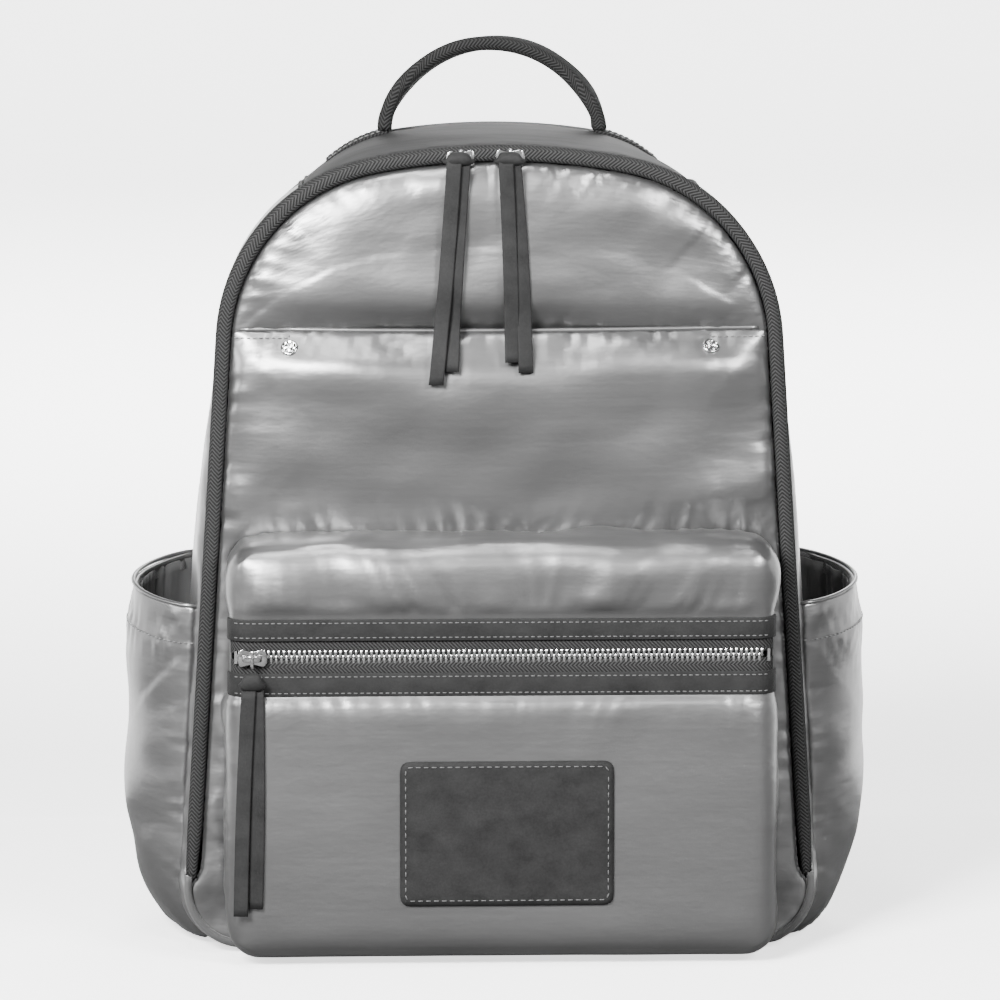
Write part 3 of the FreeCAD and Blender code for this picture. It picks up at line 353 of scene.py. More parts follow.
def settled(points, faces, pins, slack, pressure, cap, seed=0):
    """Sewn cloth, longer than the space between its seams, blown out until it bulges and wrinkles.

    pins holds each point's hold from 0 to 1, and slack how much longer the cloth is at that point.
    """
    dice = random.Random(seed)
    mesh = bpy.data.meshes.new("Cloth")
    factor = CLOTH_SCALE * MM
    jolt = [dice.uniform(-CLOTH_JOLT, CLOTH_JOLT) for _ in points]
    loose = [Vector(p) + Vector((j, j, j)) * (1 - hold) for p, j, hold in zip(points, jolt, pins)]
    mesh.from_pydata([p * factor for p in loose], [], faces)
    cloth = bpy.data.objects.new("Cloth", mesh)
    bpy.context.scene.collection.objects.link(cloth)
    held, longer = cloth.vertex_groups.new(name="held"), cloth.vertex_groups.new(name="longer")
    most = max(slack)
    for i, (hold, more) in enumerate(zip(pins, slack)):
        held.add([i], hold, "REPLACE")
        longer.add([i], more / most, "REPLACE")
    solver = cloth.modifiers.new("Cloth", "CLOTH")
    rule = solver.settings
    rule.quality, rule.mass = 6, 0.3
    rule.tension_stiffness, rule.compression_stiffness = 15, 15
    rule.shear_stiffness, rule.bending_stiffness = 6, 0.6
    rule.air_damping = 2
    rule.vertex_group_mass, rule.vertex_group_shrink = "held", "longer"
    rule.shrink_min, rule.shrink_max = 0, -most
    rule.use_pressure, rule.uniform_pressure_force = True, pressure
    rule.effector_weights.gravity = 0
    solver.collision_settings.use_collision = False
    solver.point_cache.frame_end = CLOTH_FRAMES
    for step in range(1, CLOTH_FRAMES + 1):
        bpy.context.scene.frame_set(step)
    graph = bpy.context.evaluated_depsgraph_get()
    blown = [v.co / factor for v in cloth.evaluated_get(graph).data.vertices]
    bpy.data.objects.remove(cloth)
    bpy.context.scene.frame_set(1)
    out = []
    for start, end in zip(points, blown):
        move = end - Vector(start)
        far = move.length / cap
        spot = Vector(start) + (move * ((1 - math.exp(-far)) / far) if far > 1e-4 else move)
        spot.z = max(spot.z, FLOOR_CLEAR)
        out.append(spot)
    return out


def settled_rows(rows, pins, slack, pressure, cap, flip=False, seed=0):
    """A grid of cloth, settled. pins and slack are functions of a point's row and column."""
    height, width = len(rows), len(rows[0])
    flat = [p for row in rows for p in row]
    holds = [pins(i, j) for i in range(height) for j in range(width)]
    longer = [slack(i, j) for i in range(height) for j in range(width)]
    done = settled(flat, grid_faces(height, width, flip=flip), holds, longer, pressure, cap, seed)
    return [done[i * width:(i + 1) * width] for i in range(height)]


def puckered(rows, seam, middle, reach=4):
    """Slack for a sewn panel: more along its seams, where the cloth is gathered."""
    height, width = len(rows) - 1, len(rows[0]) - 1

    def slack(i, j):
        edge = min(i, height - i, j, width - j)
        return middle + (seam - middle) * (1 - smooth(1, reach, edge))

    return slack


def edges_only(rows):
    """Pins for a panel that is sewn down on all four sides."""
    last_row, last_column = len(rows) - 1, len(rows[0]) - 1
    return lambda i, j: float(i in (0, last_row) or j in (0, last_column))


class Seams:
    """Stitched lines, each a list of points, that tell how near a place is and how far along its seam."""

    def __init__(self, *lines):
        self.along = []
        points = []
        for number, run in enumerate(lines):
            far = 400.0 * number
            for i, p in enumerate(run):
                if i:
                    far += (p - run[i - 1]).length
                points.append(p)
                self.along.append(far)
        self.tree = KDTree(len(points))
        for i, p in enumerate(points):
            self.tree.insert(p, i)
        self.tree.balance()

    def near(self, p):
        _, i, distance = self.tree.find(p)
        return distance, self.along[i]


def fold(distance, along, wave, reach, seed):
    """The height of cloth near a seam: small gathers at the stitches and broad folds that run in."""
    lean = along + 0.5 * distance * math.sin(along / 41 + seed)
    gather = noise.noise(Vector((lean / wave, distance / (6 * wave), seed)))
    broad = noise.noise(Vector((lean / (3.2 * wave), distance / (9 * wave), seed + 5)))
    small = (0.8 - 2.6 * abs(gather)) * math.exp(-distance / (0.35 * reach))
    large = 3.0 * broad * math.exp(-distance / (0.75 * reach)) * smooth(0, wave, distance)
    return (small + large) * smooth(0, 0.35 * wave, distance)


def tailored(piece, seams, height, wave, reach, billow=1.2, thickness=1.2, still=lambda p: 0.0, seed=0.0):
    """Finishes a satin piece: finer, with folds along its seams and slow billows, and thickness."""
    piece.modifiers.new("Subdivision", "SUBSURF").levels = 1
    mesh = apply_modifiers(piece).data
    normals = [v.normal.copy() for v in mesh.vertices]
    for v, normal in zip(mesh.vertices, normals):
        p = v.co / MM
        distance, along = seams.near(p)
        lift = height * fold(distance, along, wave, reach, seed)
        swell = ripple((p.x * 0.7 + p.z * 0.4, p.y, p.z * 1.4), 66, seed)
        swell += 0.42 * ripple((p.x * 0.9 - p.z * 0.35, p.y, p.z * 1.5 + p.x * 0.2), 34, seed + 3)
        lift += billow * swell * smooth(2, 22, distance)
        p += normal * lift * (1 - still(p))
        p.z = max(p.z, FLOOR_CLEAR)
        v.co = p * MM
    solid = piece.modifiers.new("Thickness", "SOLIDIFY")
    solid.thickness, solid.offset = thickness * MM, -1
    return apply_modifiers(piece)


def coons(bottom, top, left, right, rows, columns):
    """A grid between four curves, each a function of a share from 0 to 1 along it."""

    def point(u, v):
        across = bottom(u) * (1 - v) + top(u) * v
        along = left(v) * (1 - u) + right(v) * u
        corners = (bottom(0) * (1 - u) + bottom(1) * u) * (1 - v) + (top(0) * (1 - u) + top(1) * u) * v
        return across + along - corners

    return grid(rows, columns, point)


def at(s, n, y):
    """A point on the outline, offset by n, at a depth y."""
    flat = outline.at(s, n)
    return Vector((flat.x, y, flat.y))


# ---- materials -----------------------------------------------------------------------------------


class Look:
    """A procedural material being put together. Lengths in its Pattern coordinates are millimetres."""

    def __init__(self, name, **sockets):
        self.material = bpy.data.materials.new(name)
        self.material.use_nodes = True
        self.nodes = self.material.node_tree.nodes
        self.links = self.material.node_tree.links
        self.shader = self.nodes["Principled BSDF"]
        self.feed(self.shader, **sockets)

    def feed(self, node, **inputs):
        for key, value in inputs.items():
            socket = node.inputs[int(key[1:]) if key[0] == "_" else key.replace("_", " ")]
            if isinstance(value, bpy.types.NodeSocket):
                self.links.new(value, socket)
            else:
                socket.default_value = value
        return node

    def add(self, kind, settings=None, **inputs):
        node = self.nodes.new("ShaderNode" + kind)
        for key, value in (settings or {}).items():
            setattr(node, key, value)
        return self.feed(node, **inputs)

    def pattern(self, *scale):
        """The cloth's own coordinates, in millimetres times scale."""
        uv = self.add("UVMap", {"uv_map": "Pattern"}).outputs["UV"]
        return self.add("Mapping", Vector=uv, Scale=scale).outputs[0]

    def space(self, *scale):
        """Places in the object, in metres times scale."""
        place = self.add("TexCoord").outputs["Object"]
        return self.add("Mapping", Vector=place, Scale=scale).outputs[0]

    def noise(self, vector, scale=1.0, detail=2.0, rough=0.5):
        return self.add("TexNoise", Vector=vector, Scale=scale, Detail=detail, Roughness=rough).outputs[0]

    def math(self, operation, a, b=0.0, c=0.0):
        return self.add("Math", {"operation": operation}, _0=a, _1=b, _2=c).outputs[0]

    def fit(self, value, low, high, to_low, to_high):
        """value's range low to high carried to another range."""
        node = self.add("MapRange", Value=value, From_Min=low, From_Max=high, To_Min=to_low, To_Max=to_high)
        return node.outputs[0]

    def shade(self, factor, dark, light):
        """A colour between two greys or tints."""
        node = self.add("ValToRGB", Fac=factor)
        node.color_ramp.elements[0].color = tint(dark)
        node.color_ramp.elements[1].color = tint(light)
        self.feed(self.shader, Base_Color=node.outputs[0])

    def raise_by(self, height, depth, strength=1.0, under=None):
        """Bump from a height between 0 and 1 that stands for depth millimetres."""
        node = self.add("Bump", Strength=strength, Distance=depth * MM, Height=height)
        if under:
            self.links.new(under.outputs[0], node.inputs["Normal"])
        self.links.new(node.outputs[0], self.shader.inputs["Normal"])
        return node


def tint(value):
    return (value, value, value, 1) if isinstance(value, (int, float)) else (*value, 1)


def satin(name, dark, light, metallic=0.45, rough=0.36, sheen=0.15, gloss=0.5):
    """Padded nylon satin: fine threads across, slubs, soft creases and a broad shine."""
    look = Look(name, Metallic=metallic, Sheen_Weight=sheen, Sheen_Roughness=0.4, Specular_IOR_Level=gloss)
    threads = look.noise(look.pattern(0.18, 5.0, 1), 1.0, 2)
    slubs = look.noise(look.pattern(0.01, 0.55, 1), 1.0, 3)
    creases = look.noise(look.pattern(0.035, 0.075, 1), 1.0, 3, 0.55)
    clouds = look.noise(look.space(9, 9, 9), 1.0, 2)
    mix = look.math("MULTIPLY_ADD", slubs, 0.1, look.math("MULTIPLY_ADD", clouds, 0.4, 0.22))
    look.shade(look.math("MULTIPLY_ADD", threads, 0.16, mix), dark, light)
    look.feed(look.shader, Roughness=look.fit(slubs, 0.3, 0.7, rough - 0.01, rough + 0.02))
    soft = look.raise_by(creases, 1.0, 0.4)
    look.raise_by(threads, 0.03, 0.5, soft)
    return look.material


def herringbone(name, dark, light, width, pitch, depth, rough=0.75):
    """Webbing and zipper tape: slanted ribs that change direction every width millimetres."""
    look = Look(name, Roughness=rough, Specular_IOR_Level=0.03)
    split = look.add("SeparateXYZ", Vector=look.pattern(1, 1, 1))
    zigzag = look.math("PINGPONG", split.outputs[1], width)
    slant = look.math("ADD", split.outputs[0], zigzag)
    rib = look.math("SINE", look.math("MULTIPLY", slant, 2 * math.pi / pitch))
    fuzz = look.noise(look.pattern(1.5, 1.5, 1), 1.0, 3)
    height = look.math("MULTIPLY_ADD", fuzz, 0.5, look.fit(rib, -1, 1, 0, 0.7))
    look.shade(height, dark, light)
    look.raise_by(height, depth, 0.9)
    return look.material


def leather(name, dark, light):
    """Smooth nubuck: a fine grain, scuffed clouds and soft edges."""
    look = Look(name, Sheen_Weight=0.01, Sheen_Roughness=0.5, Specular_IOR_Level=0.1)
    cells = look.space(1400, 1400, 1400)
    grain = look.add("TexVoronoi", {"feature": "SMOOTH_F1"}, Vector=cells, Smoothness=0.6)
    clouds = look.noise(look.space(70, 70, 95), 1.0, 5, 0.65)
    fine = look.noise(look.space(900, 900, 900), 1.0, 2)
    mix = look.math("MULTIPLY_ADD", fine, 0.35, look.math("MULTIPLY_ADD", clouds, 0.9, -0.15))
    look.shade(mix, dark, light)
    look.feed(look.shader, Roughness=look.fit(clouds, 0.3, 0.7, 0.58, 0.74))
    look.raise_by(look.math("ADD", grain.outputs["Distance"], fine), 0.12, 0.5)
    return look.material


def woven(name, dark, light, pitch, depth, rough=0.8, sheen=0.1):
    """Plain weave: threads over and under both ways."""
    look = Look(name, Roughness=rough, Sheen_Weight=sheen)
    split = look.add("SeparateXYZ", Vector=look.pattern(1, 1, 1))
    ways = [look.math("SINE", look.math("MULTIPLY", split.outputs[i], math.pi / pitch)) for i in range(2)]
    cross = look.fit(look.math("MULTIPLY", *ways), -1, 1, 0, 1)
    drift = look.noise(look.space(40, 40, 40), 1.0, 3)
    look.shade(look.math("MULTIPLY_ADD", drift, 0.7, look.math("MULTIPLY", cross, 0.35)), dark, light)
    look.raise_by(cross, depth, 0.7)
    return look.material


def air_mesh(name, dark, light):
    """Spacer mesh: small round holes in a staggered field."""
    look = Look(name, Roughness=0.85, Sheen_Weight=0.3, Sheen_Roughness=0.4)
    cells = look.add("TexVoronoi", Vector=look.pattern(0.42, 0.42, 1), Randomness=0.25)
    hole = look.fit(cells.outputs["Distance"], 0.22, 0.5, 0, 1)
    drift = look.noise(look.space(30, 30, 30), 1.0, 3)
    look.shade(look.math("MULTIPLY_ADD", drift, 0.4, look.math("MULTIPLY", hole, 0.7)), dark, light)
    look.raise_by(hole, 0.6, 0.9)
    return look.material


def metal(name, dark, light, rough=0.2):
    """Plated metal with faint brushing and handling marks."""
    look = Look(name, Metallic=1.0)
    marks = look.noise(look.space(300, 2200, 300), 1.0, 4, 0.6)
    wear = look.noise(look.space(240, 240, 240), 1.0, 3)
    look.shade(wear, dark, light)
    look.feed(look.shader, Roughness=look.fit(marks, 0.3, 0.7, rough - 0.06, rough + 0.12))
    look.raise_by(marks, 0.02, 0.4)
    return look.material


def matte(name, dark, light, scale, depth, rough=0.6, sheen=0.0):
    """Thread, moulded plastic and coil: a fine mottled grain."""
    look = Look(name, Sheen_Weight=sheen)
    grain = look.noise(look.space(scale, scale, scale), 1.0, 3, 0.6)
    broad = look.noise(look.space(45, 45, 45), 1.0, 2)
    look.shade(look.math("MULTIPLY_ADD", grain, 0.6, look.math("MULTIPLY", broad, 0.4)), dark, light)
    look.feed(look.shader, Roughness=look.fit(broad, 0.3, 0.7, rough - 0.06, rough + 0.06))
    look.raise_by(grain, depth, 0.6)
    return look.material


SATIN = satin("Padded_Satin", 0.09, 0.22, 0.88, 0.34, 0.02)
# Painted shade: a darker, dull copy of the same satin that stands for the shade on the top gusset, its seam
# ridges and the base.
SHADED_SATIN = satin("Gusset_Satin_Painted_Shade", 0.012, 0.026, 0.0, 0.62, 0.0, 0.04)
TAPE = herringbone("Zipper_Tape", 0.001, 0.036, 3.8, 2.0, 0.6)
WEBBING = herringbone("Herringbone_Webbing", 0.001, 0.024, 3.2, 2.0, 0.6)
LEATHER = leather("Nubuck_Leather", 0.002, 0.024)
LINING = woven("Lining_Cloth", 0.03, 0.06, 0.5, 0.08)
# Painted shade: a darker copy of the lining for the inside of the side pockets, where shade falls.
SHADED_POCKET_LINING = woven("Side_Pocket_Lining_Painted_Shade", 0.012, 0.03, 0.5, 0.08, 0.9)
PIPING = woven("Piping_Cloth", 0.02, 0.05, 0.45, 0.12, 0.65, 0.2)
STRAP_CLOTH = woven("Strap_Cloth", 0.05, 0.1, 0.45, 0.1, 0.6, 0.2)
ELASTIC = woven("Ribbed_Elastic", 0.03, 0.08, 0.8, 0.25)
MESH = air_mesh("Air_Mesh", 0.01, 0.09)
CHROME = metal("Polished_Nickel", 0.42, 0.62, 0.12)
TEETH = metal("Zipper_Teeth_Metal", 0.38, 0.6, 0.2)
THREAD = matte("Light_Thread", 0.045, 0.085, 3000, 0.05, 0.7)
DARK_THREAD = matte("Grey_Thread", 0.05, 0.11, 3000, 0.05, 0.6, 0.2)
COIL = matte("Zipper_Coil", 0.03, 0.06, 1500, 0.05, 0.4)
PLASTIC = matte("Moulded_Plastic", 0.02, 0.045, 1200, 0.04, 0.34)


# ---- stitches and things that lie on the cloth ---------------------------------------------------


def stitches(name, points, normals, material, pitch=STITCH_PITCH, width=0.6):
    """A row of short threads along points, each standing a little off the cloth."""
    length, verts, faces = 0.62 * pitch, [], []
    for place, ahead, up in walk(points, normals, pitch):
        side = ahead.cross(up).normalized()
        base = len(verts)
        for share, scale in ((-0.5, 0.35), (-0.38, 1.0), (0.38, 1.0), (0.5, 0.35)):
            lift = 0.28 * (1 - (2 * share) ** 2)
            for k in range(6):
                a = math.pi * k / 3
                out = side * math.cos(a) * width / 2 + up * (math.sin(a) * width / 2)
                verts.append(place + ahead * (share * length) + out * scale + up * lift)
        faces += [tuple(base + v for v in quad) for quad in grid_faces(4, 6, wrap=True)]
        faces += [tuple(range(base, base + 6))[::-1], tuple(range(base + 18, base + 24))]
    return mesh_piece(name, verts, faces, material)


def flat_stitches(points, up):
    """A close row of grey stitches on a flat place whose way out is up."""
    return stitches("row", points, [up] * len(points), DARK_THREAD, CLOSE_PITCH)


def walk(points, normals, pitch):
    """Evenly spaced places along a line of points, each with its heading and its normal."""
    spots, carry = [], pitch / 2
    for i in range(len(points) - 1):
        start, step = points[i], points[i + 1] - points[i]
        while carry < step.length:
            share = carry / step.length
            up = normals[i].lerp(normals[i + 1], share)
            ahead = step.normalized()
            up = (up - ahead * up.dot(ahead)).normalized()
            spots.append((start + step * share, ahead, up))
            carry += pitch
        carry -= step.length
    return spots


class Surface:
    """The cloth under something that is laid on it, looked up along one direction."""

    def __init__(self, piece, direction=(0, 1, 0)):
        mesh = piece.data
        verts = [v.co / MM for v in mesh.vertices]
        self.tree = BVHTree.FromPolygons(verts, [tuple(p.vertices) for p in mesh.polygons])
        self.way = Vector(direction)

    def find(self, point, lift=0.0):
        """The nearest cloth met from outside along the direction, and its outward normal."""
        hit, normal, _, _ = self.tree.ray_cast(Vector(point) - self.way * 200, self.way)
        if hit is None:
            return None
        normal = -normal if normal.dot(self.way) > 0 else normal
        return hit + normal * lift, normal


def drop(surface, points, lift=0.0):
    """Points laid on a surface, with its normals."""
    hits = [surface.find(p, lift) for p in points]
    hits = [h for h in hits if h]
    return [h[0] for h in hits], [h[1] for h in hits]


def line(a, b, step=3.0):
    a, b = Vector(a), Vector(b)
    count = max(2, round((b - a).length / step))
    return [a.lerp(b, i / count) for i in range(count + 1)]


# ---- gussets, base and seams ---------------------------------------------------------------------


def gusset_front(z):
    """How far forward the gusset comes: behind the zipper, and to the front skirt near the floor."""
    return GUSSET_Y0 - 12.5 * (1 - smooth(28, 40, z))


def gusset_rows(s0, s1, step=5.0, crown=2.0):
    """A gusset from front to back, between two distances along the outline, swelling behind the zipper."""

    def point(u, t):
        s = s0 + (s1 - s0) * u
        front = gusset_front(outline.at(s).y)
        rise = smooth(0, 0.4, t) * (1 - 0.5 * smooth(0.8, 1, t))
        y = front + (GUSSET_Y1 - front) * t
        return at(s, 0.2 + crown * rise - slump(s, y), y)

    return grid(24, round((s1 - s0) / step), point)


def gusset(name, node, s0, s1, slack, material, seed):
    rows = gusset_rows(s0, s1)
    pins = edges_only(rows)
    blown = settled_rows(rows, pins, puckered(rows, slack * 1.8, slack), PRESSURE, 4.5, seed=seed)
    for flat_row, row in zip(rows, blown):
        for j, (a, b) in enumerate(zip(flat_row, row)):
            row[j] = b.lerp(a, 0.8 * smooth(230, 320, a.z))
    piece = sheet_piece(name, blown, material)
    tailored(piece, Seams(rows[0], rows[-1]), 0.8, 7, 14, 0.5, 0.9, seed=seed)
    return placed(piece, "bag_body", "satin_fabric", node)


def gussets():
    # The top gusset takes the painted-shade copy of the satin; the side gussets take the satin itself.
    gusset("top_gusset_panel", "top_gusset", -S_TOP, S_TOP, 0.02, SHADED_SATIN, 11)
    gusset("side_gusset_panel_right", "side_gusset_right", S_TOP, S_BASE, 0.02, SATIN, 12)
    gusset("side_gusset_panel_left", "side_gusset_left", -S_BASE, -S_TOP, 0.02, SATIN, 13)
    base_cover()
    for side, sign in SIDES:
        rise = lambda y: 0.4 + 1.8 * smooth(GUSSET_Y0, -20, y) - slump(S_TOP, y)
        seam = [at(sign * S_TOP, rise(y), y) for y in range(-56, 66, 2)]
        # The seam ridges are in the painted-shade copy of the satin.
        placed(tube("seam_ridge_" + side, seam, 1.3, SHADED_SATIN), "bag_body", "satin_fabric")


def base_cover():
    """The bag's underside, hollowed a little so that its edges carry it."""
    front = -69

    def point(u, t):
        x, y = BASE_HALF - 2 * BASE_HALF * u, front + (GUSSET_Y1 - front) * t
        hollow = 1.4 * math.sin(math.pi * t) ** 0.5 * math.sin(math.pi * u) ** 0.5
        return Vector((x, y, 2.0 - hollow + 0.25 * ripple((x, y, 0), 30)))

    # The underside is in the painted-shade copy of the satin.
    cover = sheet_piece("base_cover", grid(24, 50, point), SHADED_SATIN, thickness=0.9)
    placed(cover, "bag_body", "satin_fabric", "base_panel")


def outline_run(s0, s1, n, y, step=3.0):
    """Points along the outline, sunk as the shoulders are."""
    count = max(2, round((s1 - s0) / step))
    places = [s0 + (s1 - s0) * i / count for i in range(count + 1)]
    return [at(s, n - slump(s, y), y) for s in places]


def pipings():
    whole = outline_run(-outline.half + 1, outline.half - 1, 0.9, 68.4)
    placed(tube("rear_piping_cord", whole, 1.6, PIPING, closed=True), "bag_body", "piping", "rear_piping")
    foot = outline.find(lambda x, z: z < 40)
    under = outline_run(foot, outline.half - 0.5, -1.2, -70.6)
    mirrored = [Vector((-p.x, p.y, p.z)) for p in under]
    path = under + mirrored[::-1]
    placed(tube("base_piping_cord", path, 2.1, PIPING), "bag_body", "piping", "base_piping")


def rail(name, profile, s_end, material, step=4.0):
    """A strip that follows the outline, its section given as (n, y) pairs."""
    count = round(2 * s_end / step)
    middle = sum(n for n, _ in profile) / len(profile)
    rings = []
    for i in range(count + 1):
        s = -s_end + 2 * s_end * i / count
        narrow = 1 - 0.4 * smooth(s_end - 30, s_end, abs(s))
        rings.append([at(s, middle + (n - middle) * narrow, y) for n, y in profile])
    return loft(name, rings, material)


def main_zipper():
    """The herringbone tape on the panel, its partner on the gusset and the coil between them."""
    inner = [(-7.0, -69.4), (-6.4, -71.1), (-4.8, -71.9), (-2.4, -72.0),
             (-0.4, -71.2), (0.8, -69.4), (0.4, -68.4), (-6.6, -68.6)]
    s_inner = outline.find(lambda x, z: z < 39)
    tape = rail("zip_tape_inner_strip", inner, s_inner, TAPE)
    placed(tape, "front_panel", "zip_tape", "main_zip_tape_inner")
    outer = [(0.9, -58.0), (0.7, -63.6), (-0.3, -65.2), (-1.4, -64.4), (-1.2, -58.0)]
    tape = rail("zip_tape_outer_strip", outer, S_FOLD, TAPE)
    placed(tape, "bag_body", "zip_tape", "main_zip_tape_outer")
    links = coil("zip_coil_outer_links", -2.2, -65.6, S_FOLD, 0.0)
    placed(links, "bag_body", "zip_coil", "main_zip_coil_outer")
    links = coil("zip_coil_inner_links", -4.2, -67.3, s_inner, TOOTH_PITCH / 2)
    placed(links, "front_panel", "zip_coil", "main_zip_coil_inner")


def coil(name, n, y, s_end, offset):
    """The moulded loops of a coil zipper."""
    verts, faces = [], []
    for i in range(int(2 * s_end / TOOTH_PITCH)):
        s = -s_end + offset + TOOTH_PITCH / 2 + TOOTH_PITCH * i
        centre, ahead = at(s, n, y), at(s + 0.5, n, y) - at(s - 0.5, n, y)
        ahead.normalize()
        side = ahead.cross(FORWARD).normalized()
        base = len(verts)
        for share, scale in ((-0.75, 0.6), (-0.45, 1.0), (0.45, 1.0), (0.75, 0.6)):
            for k in range(8):
                a = math.pi * k / 4
                out = side * math.cos(a) + FORWARD * math.sin(a)
                verts.append(centre + ahead * share + out * (0.95 * scale))
        faces += [tuple(base + v for v in quad) for quad in grid_faces(4, 8, wrap=True)]
        faces += [tuple(range(base, base + 8))[::-1], tuple(range(base + 24, base + 32))]
    return mesh_piece(name, verts, faces, COIL)


# ---- front panel ---------------------------------------------------------------------------------


def side_curve(sign, s0, s1, y, n=lambda z: PANEL_N):
    """An edge of a front panel from distance s0 to s1, as a function of a share."""

    def curve(share):
        s = s0 + (s1 - s0) * share
        z = outline.at(s).y
        return at(sign * s, n(z), y)

    return curve


def lower_edge_n(z):
    """The panel's edge lies inside the zipper, and runs out to the piping below it."""
    return PANEL_N + 6.8 * (1 - smooth(31, 43, z))


def pouched(rows, depth, low, full, high):
    """Lets a front cloth hang forward between two heights, and farthest at a third one between them."""
    for row in rows[1:-1]:
        for p in row[1:-1]:
            rise = smooth(low, full, p.z) * (1 - smooth(full, high, p.z))
            p.y -= depth * rise * max(0, 1 - (p.x / side_x(p.z, PANEL_N)) ** 4)


def lower_panel():
    """The satin of the panel from the floor to the slip pocket's hem, with the pocket in front of it."""
    left = side_curve(-1, S_CORNER, S_SLIP, PANEL_Y, lower_edge_n)
    right = side_curve(1, S_CORNER, S_SLIP, PANEL_Y, lower_edge_n)
    bottom = lambda u: left(0).lerp(right(0), u)

    def top(u):
        point = left(1).lerp(right(1), u)
        slit = max(0, 1 - (point.x / RIVET_X) ** 2)
        return point + Vector((0, -1.6 - 3.0 * slit**0.6, -0.8 * slit))

    rows = coons(bottom, top, left, right, 64, 66)
    pins = edges_only(rows)
    covered = lambda p: abs(p.x) < POCKET_X - 3 and p.z < POCKET_TOP - 6
    hold = lambda i, j: float(pins(i, j) or covered(rows[i][j]) or rows[i][j].z < 30)

    rows = settled_rows(rows, hold, puckered(rows, 0.08, 0.022, 6), PRESSURE, 9, seed=21)
    pouched(rows, 5.0, 222, 298, SLIP_Z)
    piece = sheet_piece("front_lower_panel", rows, SATIN)
    edges = [[row[0] for row in rows], [row[-1] for row in rows], rows[-1]]
    sill = [Vector((x, FRONT_Y, POCKET_TOP)) for x in range(-136, 137, 2)]
    walls = [[Vector((sign * POCKET_X, FRONT_Y, z)) for z in range(40, 216, 2)] for _, sign in SIDES]
    tailored(piece, Seams(*edges, sill, *walls), 1.5, 10, 24, 4.6, 1.2, covered, 21)
    return rows, piece


def yoke():
    """The panel's upper part: sewn along the arch and, behind the slip pocket, along its foot."""
    left, right = (side_curve(sign, S_SLIP + 3, S_ARCH, YOKE_Y) for _, sign in SIDES)
    bottom = lambda u: left(0).lerp(right(0), u) + Vector((0, 2.2 * math.sin(math.pi * u) ** 0.5, 0))
    top = lambda u: at(-S_ARCH + 2 * S_ARCH * u, PANEL_N, YOKE_Y)
    rows = coons(bottom, top, left, right, 30, 66)
    rows = settled_rows(rows, edges_only(rows), puckered(rows, 0.08, 0.022, 6), PRESSURE, 8, seed=22)
    pouched(rows, 4.5, SLIP_Z, 338, 404)
    piece = sheet_piece("front_yoke_panel", rows, SATIN)
    edges = [[row[0] for row in rows], [row[-1] for row in rows], rows[-1], rows[0]]
    return tailored(piece, Seams(*edges), 1.2, 10, 22, 4.0, 1.2, seed=22)


def front():
    rows, lower = lower_panel()
    surface = Surface(lower)
    hem = [p + Vector((0, -0.4, 0)) for p in rows[-1][1:-1]]
    placed(tube("slip_pocket_hem", hem, 1.3, SATIN, start=FORWARD), "front_panel", "satin_fabric")
    upper = yoke()
    placed(upper, "front_panel", "satin_fabric", "front_yoke")
    ends, row_z, reach = [], SLIP_Z - 5.4, side_x(318, PANEL_N) - 1
    for side, sign in SIDES:
        x = sign * RIVET_X
        path = line((sign * reach, FRONT_Y, row_z), (x, FRONT_Y, row_z))
        path += line((x, FRONT_Y, row_z), (x, FRONT_Y, SLIP_Z - 0.6), 1)[1:]
        points, normals = drop(surface, path, 0.2)
        ends.append(stitches("hem_end_" + side, points, normals, DARK_THREAD, CLOSE_PITCH))
        placed(rivet("slip_rivet_" + side, surface, x, SLIP_Z - 10), "front_panel", "hardware_metal")
    placed(joined("slip_hem_stitches", ends), "front_panel", "satin_fabric")
    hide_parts("slip_pocket_rivets")
    bent(lower, "front_panel", (0, 0, 28), (0, 0, 45), "satin_fabric", "front_panel_lower", "front_skirt")
    linings()
    return [Surface(upper), surface]


def rivet(name, surface, x, z):
    """A domed rivet cap with a raised star, pressed into the cloth."""
    centre, normal = surface.find((x, 0, z))
    side = normal.cross(UP).normalized()
    up = side.cross(normal).normalized()
    profile = ((4.3, -0.4), (4.4, 0.5), (4.0, 1.1), (3.4, 1.25),
               (3.1, 0.95), (2.2, 1.05), (1.2, 1.3), (0.4, 1.4))
    rings = []
    for radius, height in profile:
        ring = []
        for k in range(48):
            a = 2 * math.pi * k / 48
            star = 0.28 * max(0, math.cos(6 * a)) if 1.0 < radius < 3.2 else 0
            ring.append(centre + (side * math.cos(a) + up * math.sin(a)) * radius + normal * (height + star))
        rings.append(ring)
    return loft(name, rings, CHROME)


def linings():
    """The panel's inner cloth and the slip pocket's bag, seen when the panel opens."""
    foot, height = 224, 98.5

    def slip_point(u, v):
        z = foot + height * v
        reach = side_x(z, PANEL_N + 0.4) - 2
        return Vector((-reach + 2 * reach * u, -65.5 + 1.2 * ripple((264 * u, 0, z), 45), z))

    slip = sheet_piece("slip_pocket_cloth", grid(21, 44, slip_point), LINING, thickness=0.6)
    placed(slip, "front_panel", "lining_fabric", "slip_pocket_lining")
    s_low, s_high = outline.find(lambda x, z: z < 50), 130
    left, right = (side_curve(sign, s_low, s_high, LINING_Y) for _, sign in SIDES)
    bottom = lambda u: left(0).lerp(right(0), u)
    top = lambda u: at(-s_high + 2 * s_high * u, PANEL_N, LINING_Y)
    rows = wrinkled(coons(bottom, top, left, right, 70, 60), 40, 0.5, 0.4)
    cloth = sheet_piece("panel_lining_cloth", rows, LINING, flip=True, thickness=0.6)
    placed(cloth, "front_panel", "lining_fabric", "panel_lining")


# ---- front pocket --------------------------------------------------------------------------------

CORNER_FRONT, CORNER_ARCH = 10, 14
POCKET_BACK = -71.6
WINDOW = (150, 170)  # the zipper's opening, between two heights
FACING_SEAMS = (139, 181)  # where the leather facings are sewn down
FACINGS = (("upper", 168.2, 179.2), ("lower", 139.8, 151.8))


